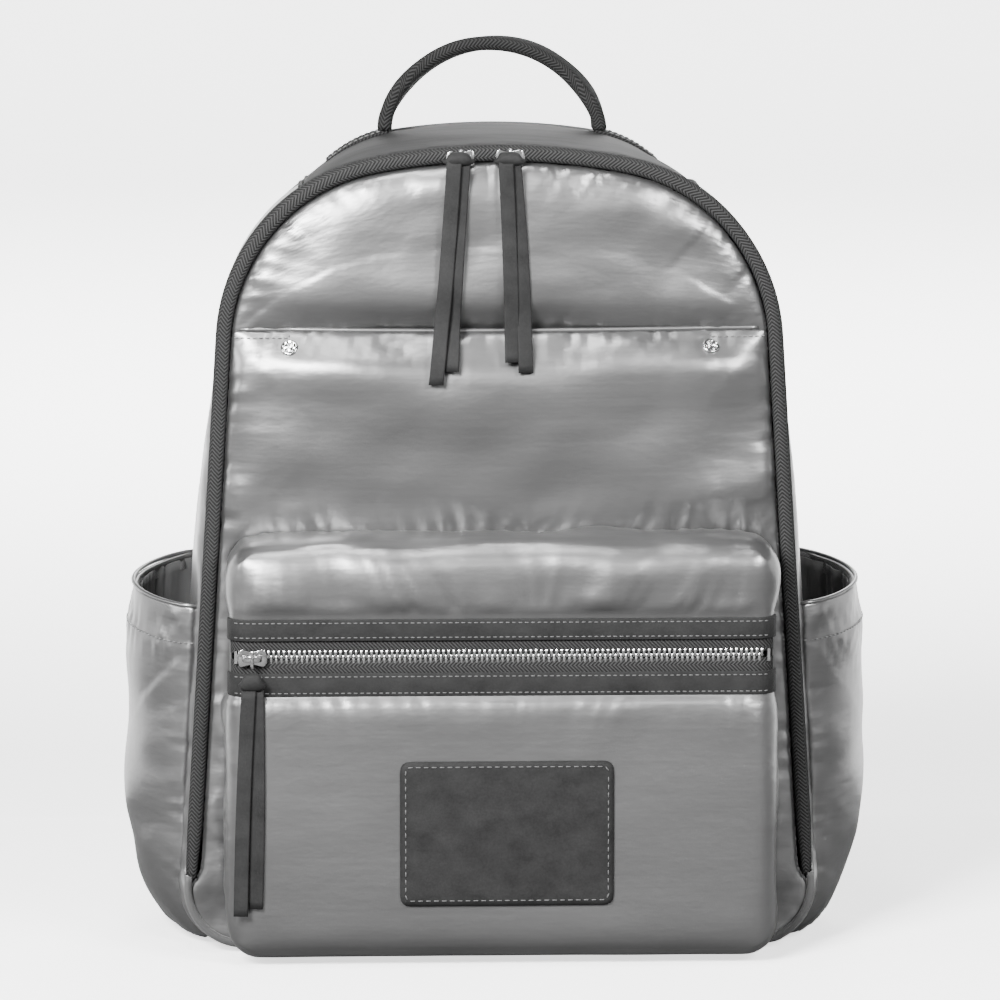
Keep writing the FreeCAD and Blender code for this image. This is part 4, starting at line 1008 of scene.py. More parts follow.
def pocket_points(step=4.0):
    """The pocket's shell as a lattice on a box with rounded front edges and corners."""
    x_count, z_count = round(2 * POCKET_X / step), round((POCKET_TOP - GROUND_GAP) / step)
    y_count = round((POCKET_BACK - POCKET_Y) / step)
    index, points, faces = {}, [], []

    def spot(i, j, k):
        key = (i, j, k)
        if key not in index:
            index[key] = len(points)
            x = -POCKET_X + 2 * POCKET_X * i / x_count
            y = POCKET_Y + (POCKET_BACK - POCKET_Y) * j / y_count
            z = GROUND_GAP + (POCKET_TOP - GROUND_GAP) * k / z_count
            points.append(Vector((x, y, z)))
        return index[key]

    for i in range(x_count):
        for k in range(z_count):
            quad = (spot(i, 0, k), spot(i + 1, 0, k), spot(i + 1, 0, k + 1), spot(i, 0, k + 1))
            middle = sum((points[v] for v in quad), Vector()) / 4
            if not WINDOW[0] < middle.z < WINDOW[1]:
                faces.append(quad)
        for j in range(y_count):
            k, far = z_count, i + 1
            faces.append((spot(i, j, k), spot(far, j, k), spot(far, j + 1, k), spot(i, j + 1, k)))
            faces.append((spot(i, j + 1, 0), spot(far, j + 1, 0), spot(far, j, 0), spot(i, j, 0)))
    for j in range(y_count):
        for k in range(z_count):
            z = GROUND_GAP + (POCKET_TOP - GROUND_GAP) * (k + 0.5) / z_count
            if j < 2 and WINDOW[0] < z < WINDOW[1]:
                continue
            for i, a, b in ((0, j + 1, j), (x_count, j, j + 1)):
                faces.append((spot(i, a, k), spot(i, b, k), spot(i, b, k + 1), spot(i, a, k + 1)))
    return points, faces


def pocket_rounded(p):
    """A point of the lattice moved onto the rounded box."""
    x_in = clamp(p.x, POCKET_X - CORNER_ARCH)
    z_in = min(max(p.z, GROUND_GAP + CORNER_ARCH), POCKET_TOP - CORNER_ARCH)
    out = Vector((p.x - x_in, 0, p.z - z_in))
    if out.length > CORNER_ARCH:
        out *= max(abs(out.x), abs(out.z)) / out.length
    flat = Vector((x_in, 0, z_in)) + out
    depth = p.y - POCKET_Y
    inset = min(POCKET_X - abs(p.x), p.z - GROUND_GAP, POCKET_TOP - p.z)
    if inset >= CORNER_FRONT or depth >= CORNER_FRONT:
        return Vector((flat.x, p.y, flat.z))
    a, b = CORNER_FRONT - inset, CORNER_FRONT - depth
    scale = max(a, b) / math.hypot(a, b)
    flat -= edge_way(p, out, inset) * (a * (1 - scale))
    return Vector((flat.x, POCKET_Y + CORNER_FRONT - b * scale, flat.z))


def edge_way(p, out, inset, hair=1e-6):
    """The way out of the pocket over the edge of its front that is nearest to a point."""
    if out.length > hair:
        return out.normalized()
    if POCKET_X - abs(p.x) <= inset + hair:
        return Vector((math.copysign(1, p.x), 0, 0))
    return -UP if p.z <= GROUND_GAP + inset + hair else UP


def pocket_uv(p):
    """A point of the lattice in the cloth's own pattern, unfolded round the front's edges."""
    wrap = p.y - POCKET_Y
    if abs(p.x) > POCKET_X - 0.01:
        return (p.x + math.copysign(wrap, p.x), p.z)
    return (p.x, p.z + math.copysign(wrap, p.z - 100))


def pocket_shell():
    raw, faces = pocket_points()
    uvs = [pocket_uv(p) for p in raw]
    points = [pocket_rounded(p) for p in raw]

    def hold(p):
        if p.y > POCKET_BACK - 0.1 or p.z < GROUND_GAP + 5:
            return 1.0
        return 1.0 if FACING_SEAMS[0] - 2 < p.z < FACING_SEAMS[1] else 0.0

    def slack(p):
        gather = smooth(150, 185, p.z)
        side = smooth(POCKET_Y + 8, POCKET_Y + 16, p.y)
        return 0.008 + 0.03 * max(gather, side)

    done = settled(points, faces, [hold(p) for p in points], [slack(p) for p in points], PRESSURE, 5, 31)
    piece = mesh_piece("front_pocket_shell", done, faces, SATIN, uvs)
    ridges = [[Vector((x, POCKET_Y, z)) for x in range(-128, 129, 2)] for z in FACING_SEAMS[::-1]]
    top = [Vector((x, POCKET_BACK, POCKET_TOP)) for x in range(-130, 131, 2)]
    walls = [[Vector((sign * POCKET_X, POCKET_BACK, z)) for z in range(6, 206, 2)] for _, sign in SIDES]

    def still(p):
        between = 1 - smooth(5, 12, abs(p.z - ZIP_Z) - 15)
        low_face = 0.7 if p.z < 136 and p.y < POCKET_Y + 14 else 0.0
        return max(between, low_face, 1 - smooth(2, 8, p.z))

    return tailored(piece, Seams(*ridges, top, *walls), 1.7, 10, 30, 2.4, 1.2, still, 31)


def pocket_wrap():
    """The way across the pocket's front and round its corners, as points and the directions out of them."""
    inset = CORNER_FRONT
    path = []
    for i in range(9):
        a = math.pi / 2 * i / 8
        path.append((-POCKET_X + inset - inset * math.cos(a), POCKET_Y + inset - inset * math.sin(a)))
    path += [(x, POCKET_Y) for x in range(-124, 125, 4)]
    path += [(-x, y) for x, y in path[:9][::-1]]
    spots = [Vector((x, y, 0)) for x, y in path]
    outs = []
    for i in range(len(spots)):
        ahead = spots[min(i + 1, len(spots) - 1)] - spots[max(i - 1, 0)]
        outs.append(Vector((ahead.y, -ahead.x, 0)).normalized())
    return spots, outs


def band_line(z, lift):
    """A line at one height along a facing, from corner to corner of the pocket."""
    spots, outs = pocket_wrap()
    points = [p + out * lift + Vector((0, 0, z)) for p, out in zip(spots, outs)]
    return points[4:-4], outs[4:-4]


def band_wrap(name, z0, z1, material, wall=1.3, sink=-0.55, crown=0.0):
    """A strip across the pocket's front that turns round its corners."""
    rings = []
    for spot, out in zip(*pocket_wrap()):
        middle = spot + Vector((0, 0, (z0 + z1) / 2))
        half = (z1 - z0) / 2
        loop = rounded_loop(half, wall / 2, wall * BAND_CORNER)
        lift = lambda a: crown * (1 - (a / half) ** 2) - sink
        rings.append([middle + Vector((0, 0, a)) + out * (b + lift(a)) for a, b in loop])
    return loft(name, rings, material)


def pocket():
    shell = pocket_shell()
    surface = Surface(shell)
    for which, z0, z1 in FACINGS:
        strip = band_wrap("zip_band_" + which, z0, z1, LEATHER)
        placed(strip, "front_panel", "leather", "pocket_band_" + which)
        rows = []
        for z in (z0 + 1.8, z1 - 1.8):
            points, normals = band_line(z, 1.15)
            rows.append(stitches("row", points, normals, THREAD, CLOSE_PITCH))
        placed(joined("zip_band_stitches_" + which, rows), "front_panel", "leather")
    pocket_zipper()
    patch(surface)
    bent(shell, "front_panel", (0, 0, 7), (0, 0, 29), "satin_fabric",
         "front_pocket_gusset", "front_pocket_upper", "front_pocket_lower", "front_pocket_foot")
    return surface


def pocket_zipper():
    """Tapes with their metal teeth closed along the middle. The stops at each end stay as the CAD has them.
    """
    for which, sign in (("upper", 1), ("lower", -1)):
        z0, z1 = sorted((ZIP_Z + sign * 1.6, ZIP_Z + sign * 11))
        tape = band_wrap("pocket_tape_" + which, z0, z1, TAPE, 1.0, 0.9, 0.3)
        placed(tape, "front_panel", "zip_tape", "pocket_zip_tape_" + which)
        verts, faces = [], []
        for i in range(102):
            x = -51 * TOOTH_PITCH + TOOTH_PITCH * (i + (0.5 if sign > 0 else 0))
            tooth(verts, faces, Vector((x, POCKET_Y + 1.5, ZIP_Z + sign * 1.3)), sign)
        teeth = mesh_piece("pocket_teeth_" + which, verts, faces, TEETH)
        placed(teeth, "front_panel", "zip_metal", "pocket_zip_teeth_" + which)


def tooth(verts, faces, centre, sign):
    """One cast tooth: a rounded block, wider at the tape, with its head over the middle line."""
    base = len(verts)
    levels = ((-2.4, 0.4, 0.8), (-1.9, 0.72, 1.25), (0.2, 0.68, 1.2),
              (0.9, 0.5, 1.05), (1.9, 0.6, 1.15), (2.3, 0.35, 0.75))
    for along, half, deep in levels:
        for a, b in rounded_loop(half, deep, 0.3, 1):
            verts.append(centre + Vector((a, b, -sign * along)))
    faces += [tuple(base + v for v in quad) for quad in grid_faces(6, 8, wrap=True)]
    faces += [tuple(range(base, base + 8))[::-1], tuple(range(base + 40, base + 48))]


def patch(surface):
    """The plain leather label, draped on the pocket, with its stitches. It carries no mark."""
    half_w, half_h, corner, x0, z0 = 54.25, 37.25, 5.0, 2, 69.8
    seam_inset, thickness = 2.9, 1.5

    def point(u, v):
        a, b = half_w * (2 * u - 1), half_h * (2 * v - 1)
        inner = Vector((clamp(a, half_w - corner), clamp(b, half_h - corner)))
        off = Vector((a, b)) - inner
        if off.length > 0:
            off *= max(abs(off.x), abs(off.y)) / off.length
        spot = inner + off
        edge = min(half_w - abs(spot.x), half_h - abs(spot.y))
        groove = 0.22 * math.exp(-((edge - seam_inset) / 0.9) ** 2)
        lift = thickness - 0.5 * (1 - smooth(0, 1.6, edge)) - groove
        return surface.find((x0 + spot.x, 0, z0 + spot.y), lift)[0]

    piece = sheet_piece("leather_label", grid(26, 38, point), LEATHER, thickness=thickness)
    placed(piece, "front_panel", "leather", "leather_patch")
    on_patch = Surface(piece)
    loop = rounded_loop(half_w - seam_inset, half_h - seam_inset, 3, 6)
    path = [Vector((x0 + a, 0, z0 + b)) for a, b in loop + loop[:1]]
    dense = [p for a, b in zip(path, path[1:]) for p in line(a, b, 3)[:-1]] + [path[-1]]
    points, normals = drop(on_patch, dense, 0.05)
    placed(stitches("leather_label_stitches", points, normals, THREAD, 4.0), "front_panel", "leather")


# ---- zipper sliders and leather pulls ------------------------------------------------------------


def slider(name, centre, ahead, out, body, node, length=15, width=9):
    """A cast slider: a waisted plate, a lower plate, a bridge for the bail and the bail bar itself."""
    side = ahead.cross(out).normalized()
    shapes = []
    for lift, thick, scale in ((0.0, 1.7, 1.0), (-4.6, 1.2, 0.96)):
        rings = []
        for i in range(15):
            t = i / 14
            along = (t - 0.5) * length
            waist = 1 - 0.3 * math.sin(math.pi * t) ** 2
            half = width / 2 * scale * waist * math.sqrt(max(0.05, 1 - (2 * t - 1) ** 8))
            loop = rounded_loop(half, thick / 2, 0.5)
            rings.append([centre + ahead * along + side * a + out * (b + lift) for a, b in loop])
        shapes.append(loft("plate", rings, CHROME))
    path = []
    for i in range(17):
        a = math.pi * i / 16
        path.append(centre + ahead * (4.6 * math.cos(a)) + out * (0.6 + 3.9 * math.sin(a)))
    shapes.append(band("bridge", path, [side] * len(path), [3.4] * len(path), 1.1, CHROME))
    bar = [centre + side * x + out * (4.9 + 0.3 * math.cos(x)) for x in (-4.6, -3.2, -1.6, 0, 1.6, 3.2, 4.6)]
    shapes.append(tube("bar", bar, 0.85, CHROME, start=out))
    piece = joined(name, shapes)
    return placed(piece, body, "hardware_metal", node)


def main_sliders():
    for side, sign in SIDES:
        lo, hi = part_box("main_slider_" + side)
        middle = (lo + hi) / 2 / MM
        out_flat = Vector((middle.x, 0, middle.z - CREST_CENTRE_Z)).normalized()
        along = BACKWARD.cross(out_flat) * -sign
        centre = Vector((middle.x, FRONT_Y - 0.2, middle.z))
        name = "main_slider_" + side
        slider("main_slider_detail_" + side, centre, along, FORWARD, name, name)


def carried(p, degrees):
    """Where a point goes as its slider runs a number of degrees along the crest arc, to the left."""
    turn = math.radians(degrees)
    up = p.z - CREST_CENTRE_Z
    x = p.x * math.cos(turn) - up * math.sin(turn)
    return Vector((x, p.y, CREST_CENTRE_Z + p.x * math.sin(turn) + up * math.cos(turn)))


def clear_y(point, width, under, gap, travel):
    """How far forward a strip has to lie at a point to clear the cloth all along its slider's travel."""
    y = point.y
    for surface in under:
        for share in (-0.5, -0.25, 0, 0.25, 0.5):
            for degrees in travel:
                hit = surface.find(carried(point + RIGHT * (share * width), degrees))
                if hit:
                    y = min(y, hit[0].y - (gap if degrees == 0 else max(1.7, gap - 0.9)))
    return y


def tail(start, end, sway, twist, width, under, gap, travel=(0,)):
    """One leather strip hanging from start to end in front of the cloth under it."""
    count, path, across, thickness = 28, [], [], 1.8
    for i in range(count + 1):
        t = i / count
        point = Vector(start).lerp(Vector(end), t)
        point.x += sway * math.sin(math.pi * t)
        point.y = clear_y(point, width, under, gap, travel)
        path.append(point)
        a = twist * math.sin(0.5 * math.pi * t)
        across.append(Vector((math.cos(a), math.sin(a), 0)))
    for _ in range(6):
        depths = [p.y for p in path]
        for i in range(1, count):
            path[i].y = min(depths[i], (depths[i - 1] + depths[i] + depths[i + 1]) / 3)
    return band("leg", path, across, [width] * (count + 1), thickness, LEATHER, 0.15)


def knot(centre, width, height, depth):
    """The rolled loop where a pull's strip passes round the bail and back through its own slit."""
    rings = []
    for i in range(21):
        t = 2 * i / 20 - 1
        swell = math.sqrt(max(0.04, 1 - abs(t) ** 3.2))
        ring = []
        for k in range(20):
            a = 2 * math.pi * k / 20
            out, up = math.cos(a), math.sin(a)
            x = t * width / 2 * (1 - 0.16 * up * abs(t))
            z = up * height / 2 * swell - 0.5 * t * t
            ring.append(centre + Vector((x, -out * depth / 2 * swell, z)))
        rings.append(ring)
    return loft("knot", rings, LEATHER)


def main_pulls(under):
    """Each pull's two strips, given as the top and end of each (x, z), the first lying over the second."""
    top_z = 408.5
    legs = {"left": ((-23.4, (-33.0, 295.4), 0.8), (-18.6, (-25.2, 302.0), -0.5)),
            "right": ((2.6, (5.8, 306.4), 0.6), (6.6, (12.6, 301.0), 1.2))}
    for (side, sign), most in zip(SIDES, (6.9, 9.4)):
        travel = [-sign * most * share / 8 for share in range(9)]
        middle = legs[side][0][0] / 2 + legs[side][1][0] / 2
        shapes = [knot(Vector((middle, -78.6, top_z + 0.6)), 14.6, 7.2, 7.4)]
        for (top_x, (end_x, end_z), sway), gap, y in zip(legs[side], (3.4, 1.2), (-80.6, -78.4)):
            start, end = (top_x, y, top_z), (end_x, y, end_z)
            shapes.append(tail(start, end, sway, 0.2 * sign, 7.6, under, gap, travel))
        strips = joined("main_pull_strips_" + side, shapes)
        placed(strips, "main_pull_" + side, "leather", "main_pull_leather_" + side)


def pocket_pull(under):
    centre = Vector((-126.5, -112.9, ZIP_Z))
    slider("pocket_slider_detail", centre, -RIGHT, FORWARD, "pocket_slider", "pocket_slider", 15, 10)
    ring, radius, turn = [], 5.4, math.radians(30)
    lo, hi = (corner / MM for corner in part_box("pocket_pull_ring"))
    middle = (lo + hi) / 2
    for i in range(40):
        a = 2 * math.pi * i / 40
        across = radius * math.cos(a)
        spoke = Vector((across * math.cos(turn), across * math.sin(turn), radius * math.sin(a)))
        ring.append(middle + spoke)
    wire = tube("pocket_ring_wire", ring, 0.95, CHROME, closed=True, sides=12)
    placed(wire, "pocket_pull", "hardware_metal", "pocket_pull_ring")
    shapes = [knot(Vector((-126.6, -117.2, 148.4)), 12.4, 9.4, 6.2)]
    for start, end, y, gap, sway in (
        ((-128.4, 144), (-133.0, 28.4), -118.2, 3.4, -0.6),
        ((-124.4, 144), (-125.4, 31.8), -116.2, 1.2, 0.8),
    ):
        start, end = (start[0], y, start[1]), (end[0], y, end[1])
        shapes.append(tail(start, end, sway, -0.15, 7.4, under, gap))
    placed(joined("pocket_pull_strips", shapes), "pocket_pull", "leather", "pocket_pull_leather")


# ---- grab handle ---------------------------------------------------------------------------------

HANDLE_HALF, HANDLE_BASE, HANDLE_RISE, HANDLE_Y = 56.5, 414, 45, 54
HANDLE_WIDTH, FOLDED_WIDTH, FOLDED_THICK = 24, 13, 7.4


def handle():
    """Folded webbing in an arch, its sewn ends flat on the top."""
    path, across, widths, lowest, highest = [], [], [], 411, 424
    for i in range(61):
        a = math.pi * (1 - i / 60)
        lean = 2.2 * math.sin(2 * a) ** 2
        x = HANDLE_HALF * math.cos(a) - math.copysign(lean, math.cos(a))
        z = HANDLE_BASE + HANDLE_RISE * math.sin(a) ** 1.04
        path.append(Vector((x, HANDLE_Y, z)))
        twist = 0.3 * math.sin(2 * a)
        across.append(Vector((0, 1, twist)).normalized())
        folded = smooth(0.3, 0.8, math.sin(a))
        widths.append(HANDLE_WIDTH - (HANDLE_WIDTH - FOLDED_WIDTH) * folded)
    arch = band("grab_handle_webbing", path, across, widths, FOLDED_THICK, WEBBING, 0.4)
    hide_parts("grab_handle")
    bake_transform(arch)
    handle_ends()


def handle_ends():
    """The handle's flat ends, each sewn down with a box of stitches."""
    shapes, rows, box_half = [], [], 8
    for _, sign in SIDES:
        def spot(s, lift, y=0):
            n = lift - 0.5 * smooth(76, 90, s) - slump(s, HANDLE_Y)
            return at(sign * s, n, HANDLE_Y + y)

        path = [spot(s, 3.4) for s in range(54, 91, 3)]
        shapes.append(band("end", path, [BACKWARD] * len(path), [22] * len(path), 2.0, WEBBING))
        for y in (-box_half, box_half):
            rows.append(flat_stitches([spot(s, 4.5, y) for s in range(58, 89, 3)], UP))
        for s in (60, 86):
            rows.append(flat_stitches(line(spot(s, 4.5, -box_half), spot(s, 4.5, box_half)), UP))
    placed(joined("handle_ends", shapes), "bag_body", "webbing", "handle_anchors")
    placed(joined("handle_stitches", rows), "bag_body", "webbing")


# ---- side pockets --------------------------------------------------------------------------------

RIM_FRONT, RIM_BACK, HEM = 177, 190, 20
SEAM_FRONT, SEAM_BACK = -52.5, 56.5
GUSSET_X, STRAIGHT_Z = 161.5, 34


def side_pocket_point(sign, t, z, inset=0.0):
    """A point of a side pocket: t runs from its front seam to its back seam. It flares out as it rises."""
    reach = 17.5 + 12 * smooth(3, 75, z) + 4.5 * smooth(90, 180, z) - inset
    y = SEAM_FRONT + (SEAM_BACK - SEAM_FRONT) * t + (0.5 - t) * 2 * inset
    bow = math.sin(math.pi * t) ** 0.62 * (1 - inset / 300)
    seam = side_x(z, 3.2) if z > STRAIGHT_Z else GUSSET_X - 0.012 * (STRAIGHT_Z - z) ** 2
    return Vector((sign * (min(seam, GUSSET_X) - 0.6 + reach * bow), y, z))


def side_pocket(side, sign):
    last, columns, low = 45, 34, GROUND_GAP

    def point(t, v):
        rim = RIM_FRONT + (RIM_BACK - RIM_FRONT) * t
        return side_pocket_point(sign, t, low + (rim - low) * v)

    rows = grid(last, columns, point)
    hem_row = round(last * (1 - HEM / (RIM_FRONT - low)))

    def hold(i, j):
        if i in (0, last) or j in (0, columns):
            return 1.0
        return 0.85 if i > hem_row else 0.0

    def slack(i, j):
        v = i / hem_row
        return 0.012 + 0.03 * smooth(0.55, 1.0, v) + 0.02 * (1 - smooth(0.0, 0.2, v))

    rows = settled_rows(rows, hold, slack, 90, 3.5, flip=sign < 0, seed=41 + (sign > 0))
    for row in rows:
        for p in row:
            p.x = math.copysign(min(abs(p.x), 203), p.x)
            p.z = max(p.z, 2.2)
    shell = sheet_piece("side_pocket_shell_" + side, rows, SATIN, flip=sign < 0)
    edges = [[row[0] for row in rows], [row[-1] for row in rows], rows[0], rows[hem_row]]
    tailored(shell, Seams(*edges), 1.3, 9, 26, 2.4, 1.8, seed=43 + sign)
    placed(shell, "bag_body", "satin_fabric", "side_pocket_" + side)
    placed(tube("side_pocket_rim_" + side, rows[-1], 1.15, SATIN), "bag_body", "satin_fabric")
    row = rows[hem_row]
    normals = [Vector((p.x - sign * 150, (p.y - 2) * 0.4, 0)).normalized() for p in row]
    points = [p + n * 0.5 for p, n in zip(row, normals)]
    seam = stitches("side_pocket_stitches_" + side, points, normals, DARK_THREAD, CLOSE_PITCH)
    placed(seam, "bag_body", "satin_fabric")
    return side_pocket_inside(side, sign)


def side_pocket_inside(side, sign):
    """A side pocket's lining and the elastic in its rim."""
    low = GROUND_GAP + 3

    def point(t, v):
        z = low + (RIM_FRONT - 3 + (RIM_BACK - RIM_FRONT) * t - low) * v
        pleat = 2.0 * noise.noise(Vector((t * 26, 0.6 * v, sign))) * smooth(0.3, 1.0, v)
        return side_pocket_point(sign, t, z, 3.4 + pleat)

    rows = grid(33, 60, point)
    # The pocket's lining is the painted-shade copy, darker than the main lining.
    lining = sheet_piece("side_pocket_cloth_" + side, rows, SHADED_POCKET_LINING, flip=sign < 0, thickness=0.5)
    placed(lining, "bag_body", "lining_fabric", "side_pocket_lining_" + side)
    channel = []
    for j in range(41):
        z = RIM_FRONT - 5 + 13 * j / 40
        channel.append(side_pocket_point(sign, 0.03 + 0.94 * j / 40, z, 2.4))
    strip = band("side_pocket_elastic_" + side, channel, [UP] * 41, [8] * 41, 1.0, ELASTIC)
    return placed(strip, "bag_body", "elastic")


def side_pockets():
    strips = [side_pocket(side, sign) for side, sign in SIDES]
    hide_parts("side_pocket_elastics")


# ---- back, straps and inside ---------------------------------------------------------------------


def quilt(x, z):
    """How far the padded back swells between its quilting lines."""
    across, up = math.sin(math.pi * x / 52), math.sin(math.pi * (z - 20) / 62)
    return 3.0 * (abs(across * up)) ** 0.4


def arch_rows(n, y, low, rows, columns):
    """A grid that fills the outline at one depth, from a height near the floor up to the crest."""
    s_low = outline.find(lambda x, z: z < low)
    edge = lambda s: at(s, n - slump(s, y), y)
    left = lambda v: edge(-s_low + (s_low - S_ARCH) * v)
    right = lambda v: edge(s_low - (s_low - S_ARCH) * v)
    bottom = lambda u: left(0).lerp(right(0), u)
    top = lambda u: edge(-S_ARCH + 2 * S_ARCH * u)
    return coons(bottom, top, left, right, rows, columns)


def back():
    """The padded mesh back and the band across it that holds the straps."""
    rows = arch_rows(-0.6, BACK_Y, 5, 120, 96)
    for i, row in enumerate(rows[1:-1], 1):
        for j, p in enumerate(row[1:-1], 1):
            margin = smooth(0, 6, min(i, j, 120 - i, 96 - j))
            p.y += margin * (quilt(p.x, p.z) + 0.25 * ripple(p, 24)) - 0.4
    cover = sheet_piece("back_mesh_cover", rows, MESH, flip=True, thickness=1.6)
    placed(cover, "bag_body", "mesh_fabric", "back_cover", "back_foam")
    verts = [Vector((a, 0, b)) for a, b in rounded_loop(78, 6.2, 1.6, 4)]
    rings = []
    for y, full in ((69.2, 1.0), (71.0, 1.0), (71.6, 0.6), (71.7, 0.0)):
        height = 0.92 + 0.08 * full
        rings.append([Vector((v.x - math.copysign(1 - full, v.x), y, 395 + v.z * height)) for v in verts])
    placed(loft("strap_yoke_band", rings, STRAP_CLOTH), "bag_body", "strap_fabric", "strap_yoke")
    rows = [flat_stitches(line((-75, 71.7, z), (75, 71.7, z)), BACKWARD) for z in (390.6, 399.4)]
    placed(joined("strap_yoke_stitches", rows), "bag_body", "strap_fabric")


PAD_TOP, PAD_FOOT = Vector((44, 78.4, 388)), Vector((100, 86.5, 132))
PAD_BOW, PAD_HALF = 27.54, 29.3
WEBBING_WIDTH, TAB_X = 25, 128


def pad_path(sign, count=61):
    """The middle of a shoulder pad from its top seam to its buckle."""
    path = []
    for i in range(count):
        t = i / (count - 1)
        p = PAD_TOP.lerp(PAD_FOOT, t)
        bow = PAD_BOW * math.sin(math.pi * min(1, t * 1.02)) ** 1.1
        path.append(Vector((sign * p.x, p.y + bow, p.z)))
    return path


def cushion_ring(point, across, out, t, seed):
    """One oval section of a pad, a little uneven. across and out are half its width and its thickness."""
    ring = []
    for k in range(36):
        a = 2 * math.pi * k / 36
        c, s = math.cos(a), math.sin(a)
        w = math.copysign(abs(c) ** 0.45, c)
        h = math.copysign(abs(s) ** 0.75, s) * (1 + 0.05 * ripple((t * 300, a * 10, seed), 22))
        ring.append(point + across * w + out * h)
    return ring


def strap(side, sign):
    """A shoulder pad along its bowed path, with its bindings, stitches, buckle and webbing."""
    path = pad_path(sign)
    wide = BACKWARD.cross(path[-1] - path[0]).normalized()
    rings, edge = [], ([], [])
    for i, point in enumerate(path):
        t = i / (len(path) - 1)
        ahead = path[min(i + 1, len(path) - 1)] - path[max(i - 1, 0)]
        out = wide.cross(ahead).normalized()
        out = -out if out.y < 0 else out
        full = min(1, math.sin(math.pi * min(max(t, 0.004), 0.996)) * 7)
        half, thick = PAD_HALF * (0.9 + 0.1 * full), 3.2 + 2.6 * full
        rings.append(cushion_ring(point, wide * half, out * thick, t, sign * 9))
        for k, way in enumerate((-1, 1)):
            edge[k].append(point + wide * (way * (half + 0.2)))
    pad = loft("strap_pad_cover_" + side, rings, STRAP_CLOTH)
    placed(pad, "strap_" + side, "strap_fabric", "strap_pad_" + side)
    bindings = [tube("binding", run, 1.5, PIPING, start=BACKWARD) for run in edge]
    placed(joined("strap_binding_" + side, bindings), "strap_" + side, "piping")
    pad_stitches(side, Surface(pad, FORWARD), path, wide)
    ladder_lock(side, sign)
    return lower_webbing(side, sign)


def pad_stitches(side, surface, path, wide):
    """Two rows of stitches down a pad, inside its bindings, and the webbing sewn over its lower end."""
    rows, out = [], BACKWARD * 12
    for way in (-1, 1):
        spots = [surface.find(p + out + wide * (way * 23.5), 0.15) for p in path[3:-2]]
        rows.append(stitches("row", *zip(*spots), DARK_THREAD, STITCH_PITCH, 0.8))
    placed(joined("strap_pad_stitches_" + side, rows), "strap_" + side, "strap_fabric")
    run = [surface.find(p + out, 1.0)[0] for p in path[-10:]]
    run[-1] += FORWARD * 3
    placed(webbing("strap_end_webbing_" + side, run, wide, 1.7), "strap_" + side, "webbing")


def webbing(name, path, across, thickness):
    return band(name, path, [across] * len(path), [WEBBING_WIDTH] * len(path), thickness, WEBBING)


def ladder_lock(side, sign):
    """The buckle at a pad's foot, and the loose end of webbing that hangs from it."""
    lo, hi = (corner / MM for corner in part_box("ladder_lock_" + side))
    middle = (lo + hi) / 2
    lean = Vector((sign * (PAD_FOOT.x - PAD_TOP.x), 0, PAD_FOOT.z - PAD_TOP.z)).normalized()
    wide = BACKWARD.cross(lean).normalized()
    shapes = []
    spot = lambda a, b, y=0.0: middle + wide * a + lean * b + BACKWARD * y
    for way in (-1, 1):
        rail_path = [spot(way * 15.2, b, 0.5 * math.cos(b / 6)) for b in (-13, -8, -3, 3, 8, 13)]
        shapes.append(band("rail", rail_path, [wide] * 6, [4.2] * 6, 3.6, PLASTIC))
    for b, w in ((-12.4, 4.4), (-2.2, 3.6), (11.8, 4.6)):
        bar = [spot(a, b, 0.9 * math.cos(a / 10)) for a in range(-16, 17, 4)]
        shapes.append(band("bar", bar, [lean] * len(bar), [w] * len(bar), 3.0, PLASTIC))
    placed(joined("strap_buckle_" + side, shapes), "strap_" + side, "buckle_plastic", "ladder_lock_" + side)
    lo, hi = (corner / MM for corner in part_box("strap_tail_" + side))
    start, path = spot(0, -6), []
    drop_by = (lo.z + 3 - start.z) / lean.z
    for i in range(21):
        p = start + lean * (drop_by * i / 20)
        path.append(Vector((p.x, (lo.y + hi.y) / 2 + 0.8 * math.sin(i / 3), p.z)))
    loose = webbing("strap_tail_end_" + side, path, wide, 1.6)
    placed(loose, "strap_" + side, "webbing", "strap_tail_" + side)


def lower_webbing(side, sign):
    """The webbing from a buckle down to the bag. Gives back the tab it is sewn to."""
    top, foot, path = Vector((sign * 106, 88, 104)), Vector((sign * TAB_X, 72.6, 44)), []
    for i in range(25):
        t = i / 24
        path.append(top.lerp(foot, t) + FORWARD * (3.5 * math.sin(math.pi * t)))
    run = webbing("lower_webbing_" + side, path, BACKWARD.cross(foot - top).normalized(), 1.7)
    bent(run, "strap_" + side, foot, top, "webbing", "strap_webbing_" + side)
    tab = [Vector((sign * TAB_X, 70.3, 22 + 22 * i / 8)) for i in range(9)]
    return band("tab", tab, [RIGHT] * 9, [33] * 9, 2.0, WEBBING)


def straps():
    tabs = [strap(side, sign) for side, sign in SIDES]
    placed(joined("lower_strap_ends", tabs), "bag_body", "webbing", "lower_strap_tabs")
    rows, half, y = [], 14, 71.5
    for _, sign in SIDES:
        x = sign * TAB_X
        for z in (26, 32, 38):
            rows.append(flat_stitches(line((x - sign * half, y, z), (x + sign * half, y, z)), BACKWARD))
    placed(joined("lower_strap_stitches", rows), "bag_body", "webbing")


def pouch_point(u, v):
    """A point of the flat pocket on the back wall: u runs across it and v up it."""
    z = 110 + 126 * v
    bulge = 7.0 * math.sin(math.pi * (0.12 + 0.78 * v)) ** 0.5 * math.sin(math.pi * u) ** 0.4
    return Vector((-110 + 220 * u, 58.6 - bulge + 0.5 * ripple((240 * u, 9, z), 30), z))


def wrinkled(rows, size, height, lift):
    """Moves the inner points of a wall of lining back by a lift and small wrinkles."""
    for row in rows[1:-1]:
        for p in row[1:-1]:
            p.y += height * ripple(p, size) + lift
    return rows


